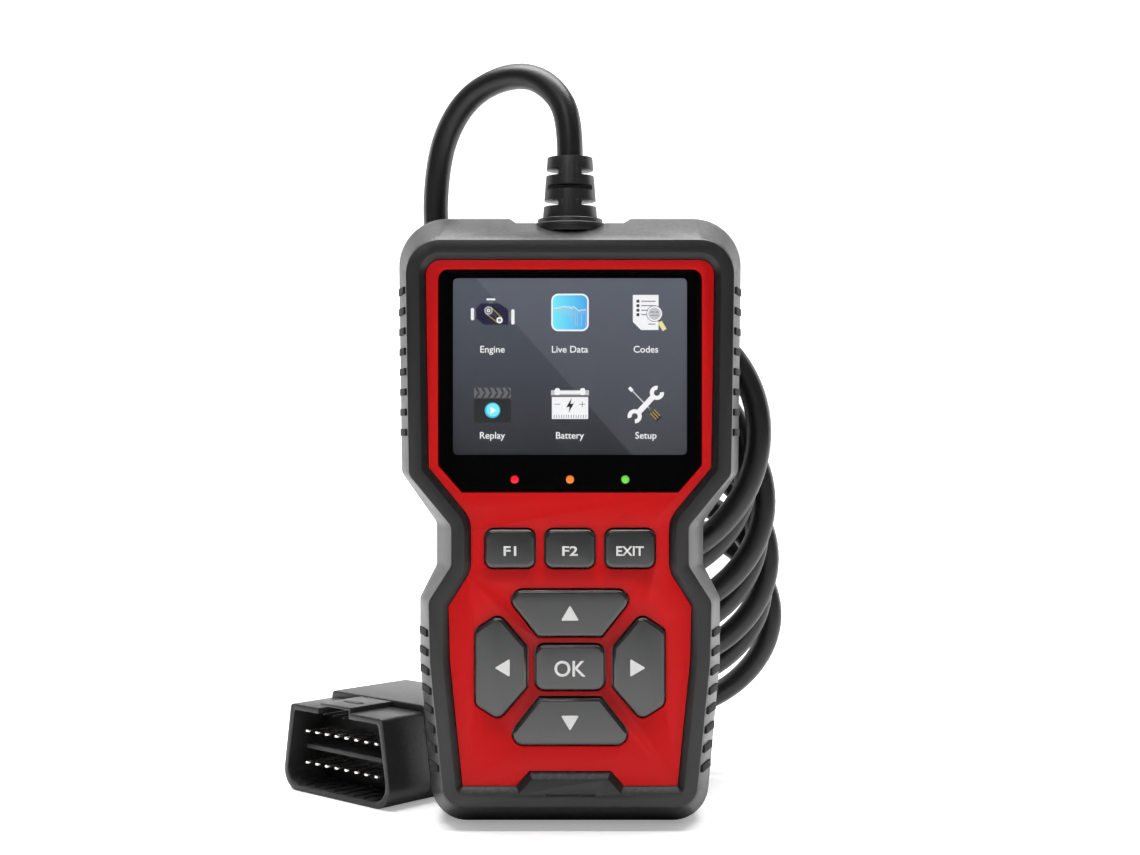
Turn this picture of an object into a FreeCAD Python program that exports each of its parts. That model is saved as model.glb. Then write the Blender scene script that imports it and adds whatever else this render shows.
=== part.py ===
import FreeCAD, Part
import math
import os
import Sketcher
from FreeCAD import Placement, Rotation, Vector

# OBD code reader: a keypad scanner that stands upright on its lower edge, with its cable looped over
# the top, coiled behind the case and ending in a 16-pin vehicle plug that lies on the floor.
# +Z up, +X to the right, the screen faces -Y. The origin is on the floor under the middle of the case.

doc = FreeCAD.newDocument("CodeReader")
sheet = doc.addObject("Spreadsheet::Sheet", "Sizes")

SIZES = {
    # case
    "thickness": 27.0, "flareDepth": 12.0, "bandDepth": 1.5, "backRound": 4.0, "wall": 2.2,
    # widest outline of the case, right half, from the top corner down
    "caseTopX": 42.9, "caseHeight": 150.4, "caseTopRound": 12.0, "caseShoulderX": 42.05,
    "caseShoulderZ": 87.0, "caseWaistX": 33.3, "caseWaistTopZ": 74.5, "caseWaistLowZ": 64.0,
    "caseHipX": 37.5, "caseHipZ": 55.8, "caseThighX": 37.5, "caseThighZ": 40.0, "caseFootX": 33.9,
    "caseFootRound": 9.0, "bendRound": 3.0,
    # flat front rim: how far it lies inside that outline, and its own heights
    "rimTopInset": 2.9, "rimTopDrop": 6.6, "rimTopRound": 8.3, "rimShoulderInset": 2.9,
    "rimShoulderZ": 86.7, "rimWaistInset": 4.45, "rimWaistTopZ": 74.2, "rimWaistLowZ": 64.6,
    "rimHipInset": 3.1, "rimHipZ": 55.9, "rimThighInset": 3.5, "rimThighZ": 41.0, "rimFootInset": 3.4,
    "rimFootZ": 6.1, "rimFootRound": 5.0,
    # face plate seat, bevel and cavity, all measured inward from an outline
    "plateInset": 4.6, "bevelDepth": 1.5, "plateThick": 2.4, "plateGap": 0.15,
    "ledgeWidth": 1.5, "ledgeThick": 2.0, "cavityInset": 4.6, "shellInset": 2.4,
    # tab of the bezel at the foot of the plate
    "tabTopX": 9.8, "tabFootX": 13.1, "tabTopZ": 14.3, "slotX": 6.2, "slotHigh": 1.45,
    "slotZ": 9.3, "slotDeep": 0.6, "slotRound": 0.65,
    # grip ribs on the flared sides
    "ribHigh": 1.7, "ribLong": 8.6, "ribProud": 0.5, "ribSunk": 0.9, "ribCount": 8,
    "ribUpperZ": 97.0, "ribUpperPitch": 4.96, "ribLowerZ": 14.9, "ribLowerPitch": 4.72,
    # cable notch and gland in the top edge
    "notchTopX": 15.1, "notchFootX": 13.4, "notchDeep": 1.35, "glandRadius": 9.5, "glandDeep": 2.3,
    "glandGap": 0.1, "neckRadius": 5.0, "lockRadius": 7.2, "lockThick": 1.6, "collarRadius": 8.15,
    "collarThick": 1.3, "bootFoot": 6.84, "bootTop": 5.65, "bootHigh": 15.4, "bootCore": 2.9,
    "bootSlot": 1.6, "bootGroove": 1.2,
    # lens and display
    "lensX": 32.1, "lensTopZ": 136.7, "lensLowZ": 82.4, "lensCutX": 26.35, "lensCutZ": 89.0,
    "lensRound": 2.4, "lensThick": 1.5, "lensGap": 0.1, "viewX": 29.2, "viewHigh": 43.8, "viewZ": 113.1,
    "panelX": 30.6, "panelHigh": 46.4, "panelThick": 1.6, "trayMargin": 1.2, "trayFloor": 2.0,
    "footSize": 4.0,
    # indicator light pipes
    "ledRadius": 1.0, "ledGap": 0.1, "ledPitch": 13.5, "ledZ": 85.5,
    # keys
    "keyProud": 1.2, "keyGap": 0.35, "keyFlange": 0.4, "flangeThick": 0.9, "flangeGap": 0.1,
    "keyTravel": 0.8, "keyRound": 0.9, "keyCorner": 2.0,
    "softX": 6.05, "softHigh": 9.5, "softPitch": 14.6, "softZ": 68.7,
    "okX": 8.4, "okHigh": 11.2, "okZ": 39.8, "okRound": 2.3,
    "upLowX": 7.8, "upTopX": 16.9, "upLowZ": 47.3, "upTopZ": 58.7, "upRound": 2.6,
    "downTopX": 7.5, "downLowX": 16.7, "downTopZ": 32.4, "downLowZ": 20.8,
    "sideInnerX": 10.5, "sideOuterX": 23.1, "sideInnerHigh": 9.7, "sideTipX": 17.3,
    "sideTipHigh": 25.7, "sideOuterHigh": 18.3, "sideRound": 2.2,
    # board stack
    "boardDepth": 10.5, "boardThick": 1.6, "boardGap": 0.5, "matX": 24.0, "matLowZ": 16.6, "matTopZ": 75.4,
    "matThick": 1.0, "domeFoot": 3.9,
    "domeTop": 2.6, "domeWall": 0.6, "switchSide": 3.6, "switchHigh": 1.4, "switchCap": 1.2,
    "postRadius": 2.3, "bossRadius": 3.2, "screwRadius": 1.0, "screwHead": 2.0, "headDeep": 1.6,
    "headRecess": 2.2, "headThick": 1.2, "crossLong": 2.8, "crossWide": 0.6, "crossDeep": 0.6,
    "screwGap": 0.2, "screwTopX": 34.6, "screwTopZ": 138.4, "screwFootX": 26.8, "screwFootZ": 12.2,
    "headerX": 7.0, "headerHigh": 5.0, "headerDeep": 5.6, "headerZ": 131.0, "buzzerRadius": 6.0,
    "buzzerHigh": 3.2, "wireRadius": 0.7, "wirePitch": 3.5, "wireCount": 4,
    "labelX": 22.0, "labelHigh": 30.0, "labelZ": 108.0, "labelDeep": 0.3,
    # cord and coil
    "cordRadius": 3.25, "coilStartX": 14.1, "coilStartY": 18.0, "coilStartZ": 97.3,
    "coilStartRadius": 35.5, "coilEndX": 20.5, "coilEndY": 72.0, "coilEndZ": 32.9,
    "coilEndWide": 39.5, "coilEndHigh": 29.5, "coilSlack": 0.3,
    # vehicle plug: mouth at its own y = 0, body along its own +y
    "plugX": -62.0, "plugY": 21.0, "plugTurn": -42.0, "mouthFootX": 22.3, "mouthTopX": 18.6,
    "mouthHigh": 23.4, "mouthFootRound": 5.5, "mouthTopRound": 1.2, "mouthWall": 1.6,
    "mouthDeep": 11.5, "keyRidgeX": 6.2, "keyRidgeHigh": 1.5, "pinPitch": 4.0, "pinColumns": 8,
    "pinRowGap": 8.5, "pinWide": 1.7, "pinHigh": 0.9, "pinBack": 2.0, "pinRowZ": 11.9, "tongueX": 15.5,
    "tongueHigh": 1.3, "tongueBack": 3.0, "blockThick": 3.0, "coverRaise": 1.8, "coverLong": 27.0,
    "coverSplit": 11.7, "coverWall": 2.0, "coverTailX": 11.0, "coverTailHigh": 14.3,
    "tailTaper": 8.0, "tailFoot": 5.2, "tailTop": 4.4, "tailLong": 14.0, "tailCore": 2.75,
    "tailSlots": 4, "tailSlotFirst": 2.1, "tailSlotPitch": 3.05, "tailSlotLong": 1.2,
    "cordStraight": 20.0,
}

# packages on the back of the board: middle x, middle z, width, height, thickness
CHIPS = {
    "Processor": (-8.0, 74.0, 14.0, 14.0, 1.4), "Memory": (12.0, 78.0, 7.0, 10.0, 1.6),
    "Regulator": (-12.0, 52.0, 5.0, 6.2, 1.5), "BusDriver": (6.0, 54.0, 9.0, 9.0, 1.2),
    "Coil": (20.0, 112.0, 8.0, 8.0, 3.4), "Crystal": (-20.0, 112.0, 11.0, 4.6, 2.8),
    "Storage": (-6.0, 108.0, 12.0, 18.0, 1.1), "Amplifier": (-14.0, 36.0, 6.0, 4.0, 1.2),
    "Fuse": (8.0, 92.0, 3.2, 2.5, 0.9),
}


def fill_sheet():
    for row, (name, number) in enumerate(SIZES.items(), 1):
        sheet.set("A%d" % row, name)
        sheet.set("B%d" % row, str(number))
        sheet.setAlias("B%d" % row, name)
    doc.recompute()


def named(text):
    # Puts the sheet's name before each size in an expression: "caseTopX - wall".
    words = []
    word = ""
    for letter in text + " ":
        if letter.isalnum():
            word += letter
            continue
        words.append("Sizes." + word if word in SIZES else word)
        words.append(letter)
        word = ""
    return "".join(words).strip()


def value(text):
    result = sheet.evalExpression(named(text))
    return float(getattr(result, "Value", result))


def bind(item, prop, text):
    item.setExpression(prop, named(text))


# depths along Y, as expressions
RIM = "(0 - thickness / 2)"
PLATE = "(" + RIM + " + bevelDepth)"
PLATE_BACK = "(" + PLATE + " + plateThick)"
LEDGE_BACK = "(" + PLATE_BACK + " + ledgeThick)"
BAND = "(" + RIM + " + flareDepth)"
SPLIT = "(" + BAND + " + bandDepth)"
BACK = "(thickness / 2)"
KEY_TOP = "(" + PLATE + " - keyProud)"
FLANGE = "(" + PLATE_BACK + " + flangeGap)"
FLANGE_BACK = "(" + FLANGE + " + flangeThick)"
BOARD = "(" + RIM + " + boardDepth)"
BOARD_BACK = "(" + BOARD + " + boardThick)"
DOME_TOP = "(" + FLANGE_BACK + " + keyTravel + flangeGap)"
NOTCH_FLOOR = "(caseHeight - notchDeep)"
BOOT = "(" + NOTCH_FLOOR + " + collarThick)"
LOCK_LOW = "(caseHeight - cavityInset - lockThick)"
CORD_EXIT = "(" + BOOT + " + bootHigh)"
TRAY_BACK = "(" + PLATE_BACK + " + panelThick + trayFloor)"
SHELL_LONG = "(mouthDeep + blockThick)"
COVER_END = "(" + SHELL_LONG + " + coverLong)"
TAIL_START = "(" + COVER_END + " + tailTaper)"

UPRIGHT = Rotation(Vector(1, 0, 0), 90)
INTO_CASE = Rotation(Vector(1, 0, 0), -90)
pieces = []
cuts = []


def keep(item, label):
    item.Label = label
    pieces.append(item)
    return item


def draw(sketch, corners):
    # Closed outline through the corners (x, z, radius), each bound to the sheet; a radius rounds it.
    spots = [Vector(value(x), value(z), 0) for x, z, radius in corners]
    count = len(spots)
    first = sketch.GeometryCount
    for index in range(count):
        sketch.addGeometry(Part.LineSegment(spots[index], spots[(index + 1) % count]), False)
    for index in range(count):
        after = first + (index + 1) % count
        sketch.addConstraint(Sketcher.Constraint("Coincident", first + index, 2, after, 1))
    for index, (x, z, radius) in enumerate(corners):
        line = first + index
        for kind, text, amount in (("DistanceX", x, spots[index].x), ("DistanceY", z, spots[index].y)):
            place = sketch.addConstraint(Sketcher.Constraint(kind, -1, 1, line, 1, amount))
            bind(sketch, "Constraints[%d]" % place, text)
    for index, (x, z, radius) in enumerate(corners):
        if radius is None:
            continue
        sketch.fillet(first + index, 1, value(radius), True, True)
        arcs = [k for k in range(sketch.GeometryCount) if isinstance(sketch.Geometry[k], Part.ArcOfCircle)]
        place = sketch.addConstraint(Sketcher.Constraint("Radius", arcs[-1], value(radius)))
        bind(sketch, "Constraints[%d]" % place, radius)
    return sketch


def both_sides(right):
    left = [("0 - (" + x + ")", z, radius) for x, z, radius in reversed(right)]
    return right + left


def rectangle(half_x, low_z, top_z, radius=None, middle="0"):
    right = "(" + middle + ") + " + half_x
    left = "(" + middle + ") - " + half_x
    return [(right, top_z, radius), (right, low_z, radius), (left, low_z, radius), (left, top_z, radius)]


def face_sketch(name, depth, corners):
    sketch = doc.addObject("Sketcher::SketchObject", name)
    sketch.Placement = Placement(Vector(0, value(depth), 0), UPRIGHT)
    bind(sketch, "Placement.Base.y", depth)
    draw(sketch, corners)
    doc.recompute()
    return sketch


def extrude(name, base, start, end):
    # Runs along +Y; start and end are distances behind the sketch.
    item = doc.addObject("Part::Extrusion", name)
    item.Base = base
    item.DirMode = "Custom"
    item.Dir = Vector(0, 1, 0)
    item.Solid = True
    bind(item, "LengthFwd", end)
    bind(item, "LengthRev", "0 - (" + start + ")")
    return item


def offset(name, base, distance):
    item = doc.addObject("Part::Offset2D", name)
    item.Source = base
    item.Mode = "Pipe"
    item.Join = "Intersection"
    bind(item, "Value", distance)
    return item


def plate_of(name, depth, corners, start, end):
    return extrude(name, face_sketch(name + "Outline", depth, corners), start, end)


def fuse(name, items):
    item = doc.addObject("Part::MultiFuse", name)
    item.Shapes = items
    item.Refine = True
    return item


def cut(name, base, tools):
    item = doc.addObject("Part::Cut", name)
    item.Base = base
    item.Tool = tools[0] if len(tools) == 1 else fuse(name + "Tools", tools)
    item.Refine = True
    cuts.append(item)
    return item


def box(name, low_x, low_y, low_z, size_x, size_y, size_z):
    item = doc.addObject("Part::Box", name)
    for prop, text in (("Length", size_x), ("Width", size_y), ("Height", size_z),
                       ("Placement.Base.x", low_x), ("Placement.Base.y", low_y),
                       ("Placement.Base.z", low_z)):
        bind(item, prop, text)
    return item


def rod(name, radius, x, z, front, long):
    # Cylinder along +Y.
    item = doc.addObject("Part::Cylinder", name)
    item.Placement = Placement(Vector(0, 0, 0), INTO_CASE)
    for prop, text in (("Radius", radius), ("Height", long), ("Placement.Base.x", x),
                       ("Placement.Base.y", front), ("Placement.Base.z", z)):
        bind(item, prop, text)
    return item


def post(name, radius, x, y, z, high, top=None):
    # Cylinder or cone along +Z.
    item = doc.addObject("Part::Cone" if top else "Part::Cylinder", name)
    for prop, text in (("Height", high), ("Placement.Base.x", x), ("Placement.Base.y", y),
                       ("Placement.Base.z", z)):
        bind(item, prop, text)
    if top:
        bind(item, "Radius1", radius)
        bind(item, "Radius2", top)
    else:
        bind(item, "Radius", radius)
    return item


def edges_where(item, test):
    doc.recompute()
    return [index for index, edge in enumerate(item.Shape.Edges, 1) if test(edge)]


def soften(kind, name, base, test, first, second=None):
    # Part::Fillet or Part::Chamfer on the edges that pass the test.
    numbers = edges_where(base, test)
    item = doc.addObject(kind, name)
    item.Base = base
    item.Edges = [(number, value(first), value(second or first)) for number in numbers]
    return item


def flat_at(depth, slack=1e-4):
    level = value(depth)
    return lambda edge: abs(edge.BoundBox.YMin - level) < slack and abs(edge.BoundBox.YMax - level) < slack


# PartDesign helpers: sketches lie at a depth behind the body's own XZ plane

def new_body(label):
    return keep(doc.addObject("PartDesign::Body", label), label)


def body_plane(body, role):
    return next(feature for feature in body.Origin.OriginFeatures if feature.Role == role)


def body_sketch(body, name, depth, corners, role="XZ_Plane"):
    sketch = body.newObject("Sketcher::SketchObject", name)
    sketch.AttachmentSupport = [(body_plane(body, role), "")]
    sketch.MapMode = "FlatFace"
    sign = "0 - " if role == "XZ_Plane" else ""
    bind(sketch, "AttachmentOffset.Base.z", sign + "(" + depth + ")")
    if corners:
        draw(sketch, corners)
    doc.recompute()
    return sketch


def pad(body, name, depth, corners, long):
    feature = body.newObject("PartDesign::Pad", name)
    feature.Profile = body_sketch(body, name + "Outline", depth, corners)
    feature.Reversed = True
    bind(feature, "Length", long)
    doc.recompute()
    return feature


def pocket(body, name, depth, corners, long):
    feature = body.newObject("PartDesign::Pocket", name)
    feature.Profile = body_sketch(body, name + "Outline", depth, corners)
    bind(feature, "Length", long)
    doc.recompute()
    cuts.append(feature)
    return feature


def through_slot(body, name, depth, corners, role="XZ_Plane"):
    # Cuts right through the body, both ways from the sketch.
    feature = body.newObject("PartDesign::Pocket", name)
    feature.Profile = body_sketch(body, name + "Outline", depth, corners, role)
    feature.Type = "ThroughAll"
    feature.Midplane = True
    doc.recompute()
    cuts.append(feature)
    return feature


def turned(body, name, depth, corners):
    # Revolved about the body's vertical line.
    feature = body.newObject("PartDesign::Revolution", name)
    sketch = body_sketch(body, name + "Outline", depth, corners)
    feature.Profile = sketch
    feature.ReferenceAxis = (sketch, ["V_Axis"])
    feature.Angle = 360
    doc.recompute()
    return feature


fill_sheet()

# ---- case outlines -------------------------------------------------------------------------------

RIM_CORNERS = both_sides([
    ("caseTopX - rimTopInset", "caseHeight - rimTopDrop", "rimTopRound"),
    ("caseShoulderX - rimShoulderInset", "rimShoulderZ", "bendRound"),
    ("caseWaistX - rimWaistInset", "rimWaistTopZ", "bendRound"),
    ("caseWaistX - rimWaistInset", "rimWaistLowZ", "bendRound"),
    ("caseHipX - rimHipInset", "rimHipZ", "bendRound"),
    ("caseThighX - rimThighInset", "rimThighZ", None),
    ("caseFootX - rimFootInset", "rimFootZ", "rimFootRound")])
CASE_CORNERS = both_sides([
    ("caseTopX", "caseHeight", "caseTopRound"),
    ("caseShoulderX", "caseShoulderZ", "bendRound"),
    ("caseWaistX", "caseWaistTopZ", "bendRound"),
    ("caseWaistX", "caseWaistLowZ", "bendRound"),
    ("caseHipX", "caseHipZ", "bendRound"),
    ("caseThighX", "caseThighZ", None),
    ("caseFootX", "0", "caseFootRound")])
SCREWS = [("screwTopX", "screwTopZ"), ("0 - screwTopX", "screwTopZ"),
          ("screwFootX", "screwFootZ"), ("0 - screwFootX", "screwFootZ")]
LED_PLACES = [("led_red", "0 - ledPitch"), ("led_amber", "0"), ("led_green", "ledPitch")]

rimOutline = face_sketch("RimOutline", RIM, RIM_CORNERS)
caseOutline = face_sketch("CaseOutline", BAND, CASE_CORNERS)


def screw_rods(name, radius, front, long):
    return [rod("%s%d" % (name, index), radius, x, z, front, long) for index, (x, z) in enumerate(SCREWS)]


def gland_bores(name):
    seat = post(name + "Seat", "glandRadius + glandGap", "0", SPLIT, NOTCH_FLOOR + " - glandDeep",
                "glandDeep + notchDeep + wall")
    neck = post(name + "Neck", "neckRadius + glandGap", "0", SPLIT,
                NOTCH_FLOOR + " - glandDeep - cavityInset", "glandDeep + cavityInset")
    lock = post(name + "Lock", "lockRadius + glandGap", "0", SPLIT, LOCK_LOW + " - glandGap",
                "lockThick + glandGap")
    return [seat, neck, lock]


def notch_cutter(name):
    return plate_of(name, RIM, both_sides([
        ("notchTopX", "caseHeight + wall", None),
        ("notchTopX", "caseHeight", None),
        ("notchFootX", NOTCH_FLOOR, None)]), "0", "thickness")


def tab_corners(gap):
    return both_sides([
        ("tabTopX + " + gap, "tabTopZ + " + gap, None),
        ("tabFootX + " + gap, "rimFootZ + plateInset", None),
        ("tabFootX + " + gap, "rimFootZ + plateInset / 2", None)])


# ---- front bezel: flared frame, bevel, seat for the plate, tab, grip ribs, screw posts -------------

def grip_ribs():
    # Bars that lie along the flare of each side, sunk a little way into it.
    ribs = []
    banks = (("Upper", "ribUpperZ", "ribUpperPitch"), ("Lower", "ribLowerZ", "ribLowerPitch"))
    for bank, low, pitch in banks:
        for index in range(int(value("ribCount"))):
            level = "%s + %d * %s" % (low, index, pitch)
            middle = value(level)
            rim_x = side_x(rimOutline, middle)
            case_x = side_x(caseOutline, middle)
            for side in (1, -1):
                name = "Rib%s%d%s" % (bank, index, "Right" if side > 0 else "Left")
                bar = doc.addObject("Part::Box", name)
                bind(bar, "Length", "ribProud + ribSunk")
                bind(bar, "Width", "ribLong")
                bind(bar, "Height", "ribHigh")
                lean = math.degrees(math.atan2(case_x - rim_x, value("flareDepth")))
                along = (value("flareDepth") + value("ribLong")) / 2
                x = rim_x + (case_x - rim_x) * (1 - along / value("flareDepth")) + value("ribProud")
                start = Vector(side * x, value(BAND) - along, middle - value("ribHigh") / 2)
                if side > 0:
                    bar.Placement = Placement(start, Rotation(Vector(0, 0, 1), -lean)).multiply(
                        Placement(Vector(-value("ribProud + ribSunk"), 0, 0), Rotation()))
                else:
                    bar.Placement = Placement(start, Rotation(Vector(0, 0, 1), lean))
                ribs.append(bar)
    return ribs


def side_x(outline, level):
    # Half width of an outline at a height.
    edges = outline.Shape
    depth = edges.BoundBox.YMin
    line = Part.makeLine(Vector(0, depth, level), Vector(value("2 * caseTopX"), depth, level))
    return edges.distToShape(line)[1][0][0].x


def front_bezel():
    flare = doc.addObject("Part::Loft", "Flare")
    flare.Sections = [rimOutline, caseOutline]
    flare.Solid = True
    flare.Ruled = True
    band = extrude("CaseBand", caseOutline, "0", "bandDepth")
    seat = extrude("PlateSeat", offset("PlateSeatOutline", rimOutline, "0 - plateInset"), "0",
                   "bevelDepth + plateThick")
    opening = extrude("LedgeOpening", offset("LedgeOutline", rimOutline, "0 - plateInset - ledgeWidth"),
                      "0", "flareDepth + bandDepth")
    cavity = extrude("BezelCavity", offset("CavityOutline", caseOutline, "0 - cavityInset"),
                     LEDGE_BACK + " - " + BAND, "bandDepth")
    frame = cut("BezelFrame", fuse("BezelBlank", [flare, band]), [seat, opening, cavity])
    tab = plate_of("Tab", RIM, tab_corners("0"), "0", "bevelDepth + plateThick")
    tabbed = fuse("BezelTabbed", [frame, tab])
    doc.recompute()
    outer = rimOutline.Shape
    level = flat_at(RIM)
    inner = lambda edge: level(edge) and outer.distToShape(edge)[0] > value("bevelDepth")
    beveled = soften("Part::Chamfer", "BezelBeveled", tabbed, inner, "bevelDepth")
    slot = plate_of("TabSlot", RIM, rectangle("slotX", "slotZ - slotHigh / 2", "slotZ + slotHigh / 2",
                                              "slotRound"), "0", "slotDeep")
    posts = screw_rods("Post", "postRadius", PLATE_BACK, "boardDepth - bevelDepth - plateThick")
    solid = fuse("BezelSolid", [beveled] + grip_ribs() + posts)
    pilots = screw_rods("Pilot", "screwRadius", LEDGE_BACK, "boardDepth")
    tools = [slot, notch_cutter("BezelNotch")] + gland_bores("Bezel") + pilots
    return keep(cut("front_bezel", solid, tools), "front_bezel")


# ---- keys and face plate ---------------------------------------------------------------------------

def side_key(sign):
    half = [("sideInnerX", "sideInnerHigh / 2", None), ("sideTipX", "sideTipHigh / 2", "sideRound"),
            ("sideOuterX", "sideOuterHigh / 2", "sideRound")]
    upper = [(sign + "(" + x + ")", "okZ + " + z, radius) for x, z, radius in half]
    lower = [(sign + "(" + x + ")", "okZ - " + z, radius) for x, z, radius in reversed(half)]
    return upper + lower


KEYS = {
    "key_f1": rectangle("softX", "softZ - softHigh / 2", "softZ + softHigh / 2", "keyCorner",
                        "0 - softPitch"),
    "key_f2": rectangle("softX", "softZ - softHigh / 2", "softZ + softHigh / 2", "keyCorner"),
    "key_exit": rectangle("softX", "softZ - softHigh / 2", "softZ + softHigh / 2", "keyCorner",
                          "softPitch"),
    "key_up": both_sides([("upTopX", "upTopZ", "upRound"), ("upLowX", "upLowZ", None)]),
    "key_down": both_sides([("downTopX", "downTopZ", None), ("downLowX", "downLowZ", "upRound")]),
    "key_left": side_key("0 - "),
    "key_right": side_key("0 + "),
    "key_ok": rectangle("okX", "okZ - okHigh / 2", "okZ + okHigh / 2", "okRound"),
}
KEY_SPOTS = [("0 - softPitch", "softZ"), ("0", "softZ"), ("softPitch", "softZ"),
             ("0", "(upLowZ + upTopZ) / 2"), ("0", "(downLowZ + downTopZ) / 2"),
             ("0 - (sideInnerX + sideOuterX) / 2", "okZ"), ("(sideInnerX + sideOuterX) / 2", "okZ"),
             ("0", "okZ")]
keyOutlines = {name: face_sketch(name + "_outline", KEY_TOP, corners) for name, corners in KEYS.items()}
lensOutline = face_sketch("LensOutline", PLATE, both_sides([
    ("lensX", "lensTopZ", "lensRound"),
    ("lensX", "lensCutZ", None),
    ("lensCutX", "lensLowZ", None)]))


def key(name):
    outline = keyOutlines[name]
    cap = extrude(name + "_cap", outline, "0", FLANGE_BACK + " - " + KEY_TOP)
    skirt = extrude(name + "_skirt", offset(name + "_skirt_outline", outline, "keyGap + keyFlange"),
                    FLANGE + " - " + KEY_TOP, FLANGE_BACK + " - " + KEY_TOP)
    body = fuse(name + "_body", [cap, skirt])
    keep(soften("Part::Fillet", name + "_key", body, flat_at(KEY_TOP), "keyRound"), name)


def led_rods(name, radius, front, long):
    return [rod(name + label, radius, x, "ledZ", front, long) for label, x in LED_PLACES]


def face_plate():
    blank = extrude("PlateBlank", offset("PlateOutline", rimOutline, "0 - plateInset - plateGap"),
                    "bevelDepth", "bevelDepth + plateThick")
    tools = [plate_of("TabNotch", RIM, tab_corners("plateGap"), "0", "bevelDepth + plateThick"),
             extrude("LensRecess", offset("LensRecessOutline", lensOutline, "lensGap"), "0", "lensThick"),
             plate_of("ViewWindow", PLATE, rectangle("viewX", "viewZ - viewHigh / 2",
                                                     "viewZ + viewHigh / 2"), "0", "plateThick")]
    tools += led_rods("PlateHole", "ledRadius + ledGap", PLATE, "plateThick")
    for name, outline in keyOutlines.items():
        tools.append(extrude(name + "_well", offset(name + "_well_outline", outline, "keyGap"), "0",
                             "keyProud + plateThick"))
    keep(cut("face_plate", blank, tools), "face_plate")


def screen():
    lens = extrude("LensBlank", lensOutline, "0", "lensThick")
    keep(cut("screen_lens", lens, led_rods("LensHole", "ledRadius + ledGap", PLATE, "lensThick")),
         "screen_lens")
    panel_low = "viewZ - panelHigh / 2"
    keep(box("lcd_panel", "0 - panelX", PLATE_BACK, panel_low, "2 * panelX", "panelThick", "panelHigh"),
         "lcd_panel")
    tray = box("TrayBlock", "0 - panelX - trayMargin", PLATE_BACK, panel_low + " - trayMargin",
               "2 * (panelX + trayMargin)", "panelThick + trayFloor", "panelHigh + 2 * trayMargin")
    hollow = box("TrayHollow", "0 - panelX", PLATE_BACK, panel_low, "2 * panelX", "panelThick", "panelHigh")
    feet = []
    for x in ("0 - panelX", "panelX - footSize"):
        for z in (panel_low, "viewZ + panelHigh / 2 - footSize"):
            feet.append(box("TrayFoot%d" % len(feet), x, TRAY_BACK, z, "footSize", BOARD + " - " + TRAY_BACK,
                            "footSize"))
    keep(fuse("lcd_tray", [cut("TrayShell", tray, [hollow])] + feet), "lcd_tray")
    for label, x in LED_PLACES:
        keep(rod(label, "ledRadius", x, "ledZ", PLATE, "boardDepth - bevelDepth"), label)


# ---- board stack -----------------------------------------------------------------------------------

def dome(name, foot, top, front, back, x, z):
    item = doc.addObject("Part::Cone", name)
    item.Placement = Placement(Vector(0, 0, 0), INTO_CASE)
    for prop, text in (("Radius1", top), ("Radius2", foot), ("Height", back + " - " + front),
                       ("Placement.Base.x", x), ("Placement.Base.y", front), ("Placement.Base.z", z)):
        bind(item, prop, text)
    return item


def keypad_mat():
    web = box("MatWeb", "0 - matX", BOARD + " - matThick", "matLowZ", "2 * matX", "matThick",
              "matTopZ - matLowZ")
    domes = []
    hollows = []
    for index, (x, z) in enumerate(KEY_SPOTS):
        domes.append(dome("Dome%d" % index, "domeFoot", "domeTop", DOME_TOP, BOARD, x, z))
        hollows.append(dome("DomeHollow%d" % index, "domeFoot - domeWall", "domeTop - domeWall",
                            "(" + DOME_TOP + " + domeWall)", BOARD, x, z))
    keep(cut("keypad_mat", fuse("MatBlank", [web] + domes), hollows), "keypad_mat")


def key_switches():
    parts = []
    for index, (x, z) in enumerate(KEY_SPOTS):
        case = box("SwitchCase%d" % index, x + " - switchSide / 2", BOARD + " - switchHigh",
                   z + " - switchSide / 2", "switchSide", "switchHigh", "switchSide")
        cap = rod("SwitchCap%d" % index, "switchCap", x, z, BOARD + " - switchHigh - switchCap / 2",
                  "switchCap / 2")
        parts += [case, cap]
    keep(fuse("key_switches", parts), "key_switches")


def main_board():
    outline = offset("BoardOutline", caseOutline, "0 - cavityInset - boardGap")
    blank = extrude("BoardBlank", outline, BOARD + " - " + BAND, BOARD_BACK + " - " + BAND)
    holes = screw_rods("BoardHole", "screwRadius + screwGap", BOARD, "boardThick")
    notch = box("BoardNotch", "0 - lockRadius - boardGap", BOARD, LOCK_LOW + " - boardGap",
                "2 * (lockRadius + boardGap)", "boardThick", "cavityInset + lockThick")
    keep(cut("main_board", blank, holes + [notch]), "main_board")


def board_chips():
    parts = []
    for name, (x, z, wide, high, deep) in CHIPS.items():
        parts.append(box(name, "%g" % (x - wide / 2), BOARD_BACK, "%g" % (z - high / 2), "%g" % wide,
                         "%g" % deep, "%g" % high))
    keep(fuse("board_chips", parts), "board_chips")


def board_parts():
    keypad_mat()
    key_switches()
    main_board()
    board_chips()
    keep(rod("buzzer", "buzzerRadius", "matX - buzzerRadius", "matLowZ + 2 * buzzerRadius", BOARD_BACK,
             "buzzerHigh"), "buzzer")
    keep(box("cable_header", "0 - headerX", BOARD_BACK, "headerZ", "2 * headerX", "headerDeep",
             "headerHigh"), "cable_header")
    wires = []
    for index in range(int(value("wireCount"))):
        x = "wirePitch * %d - wirePitch * (wireCount - 1) / 2" % index
        wires.append(post("Wire%d" % index, "wireRadius", x, BOARD_BACK + " + headerDeep / 2",
                          "headerZ + headerHigh", LOCK_LOW + " - headerZ - headerHigh"))
    keep(fuse("inner_wires", wires), "inner_wires")


# ---- rear shell ------------------------------------------------------------------------------------

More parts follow.
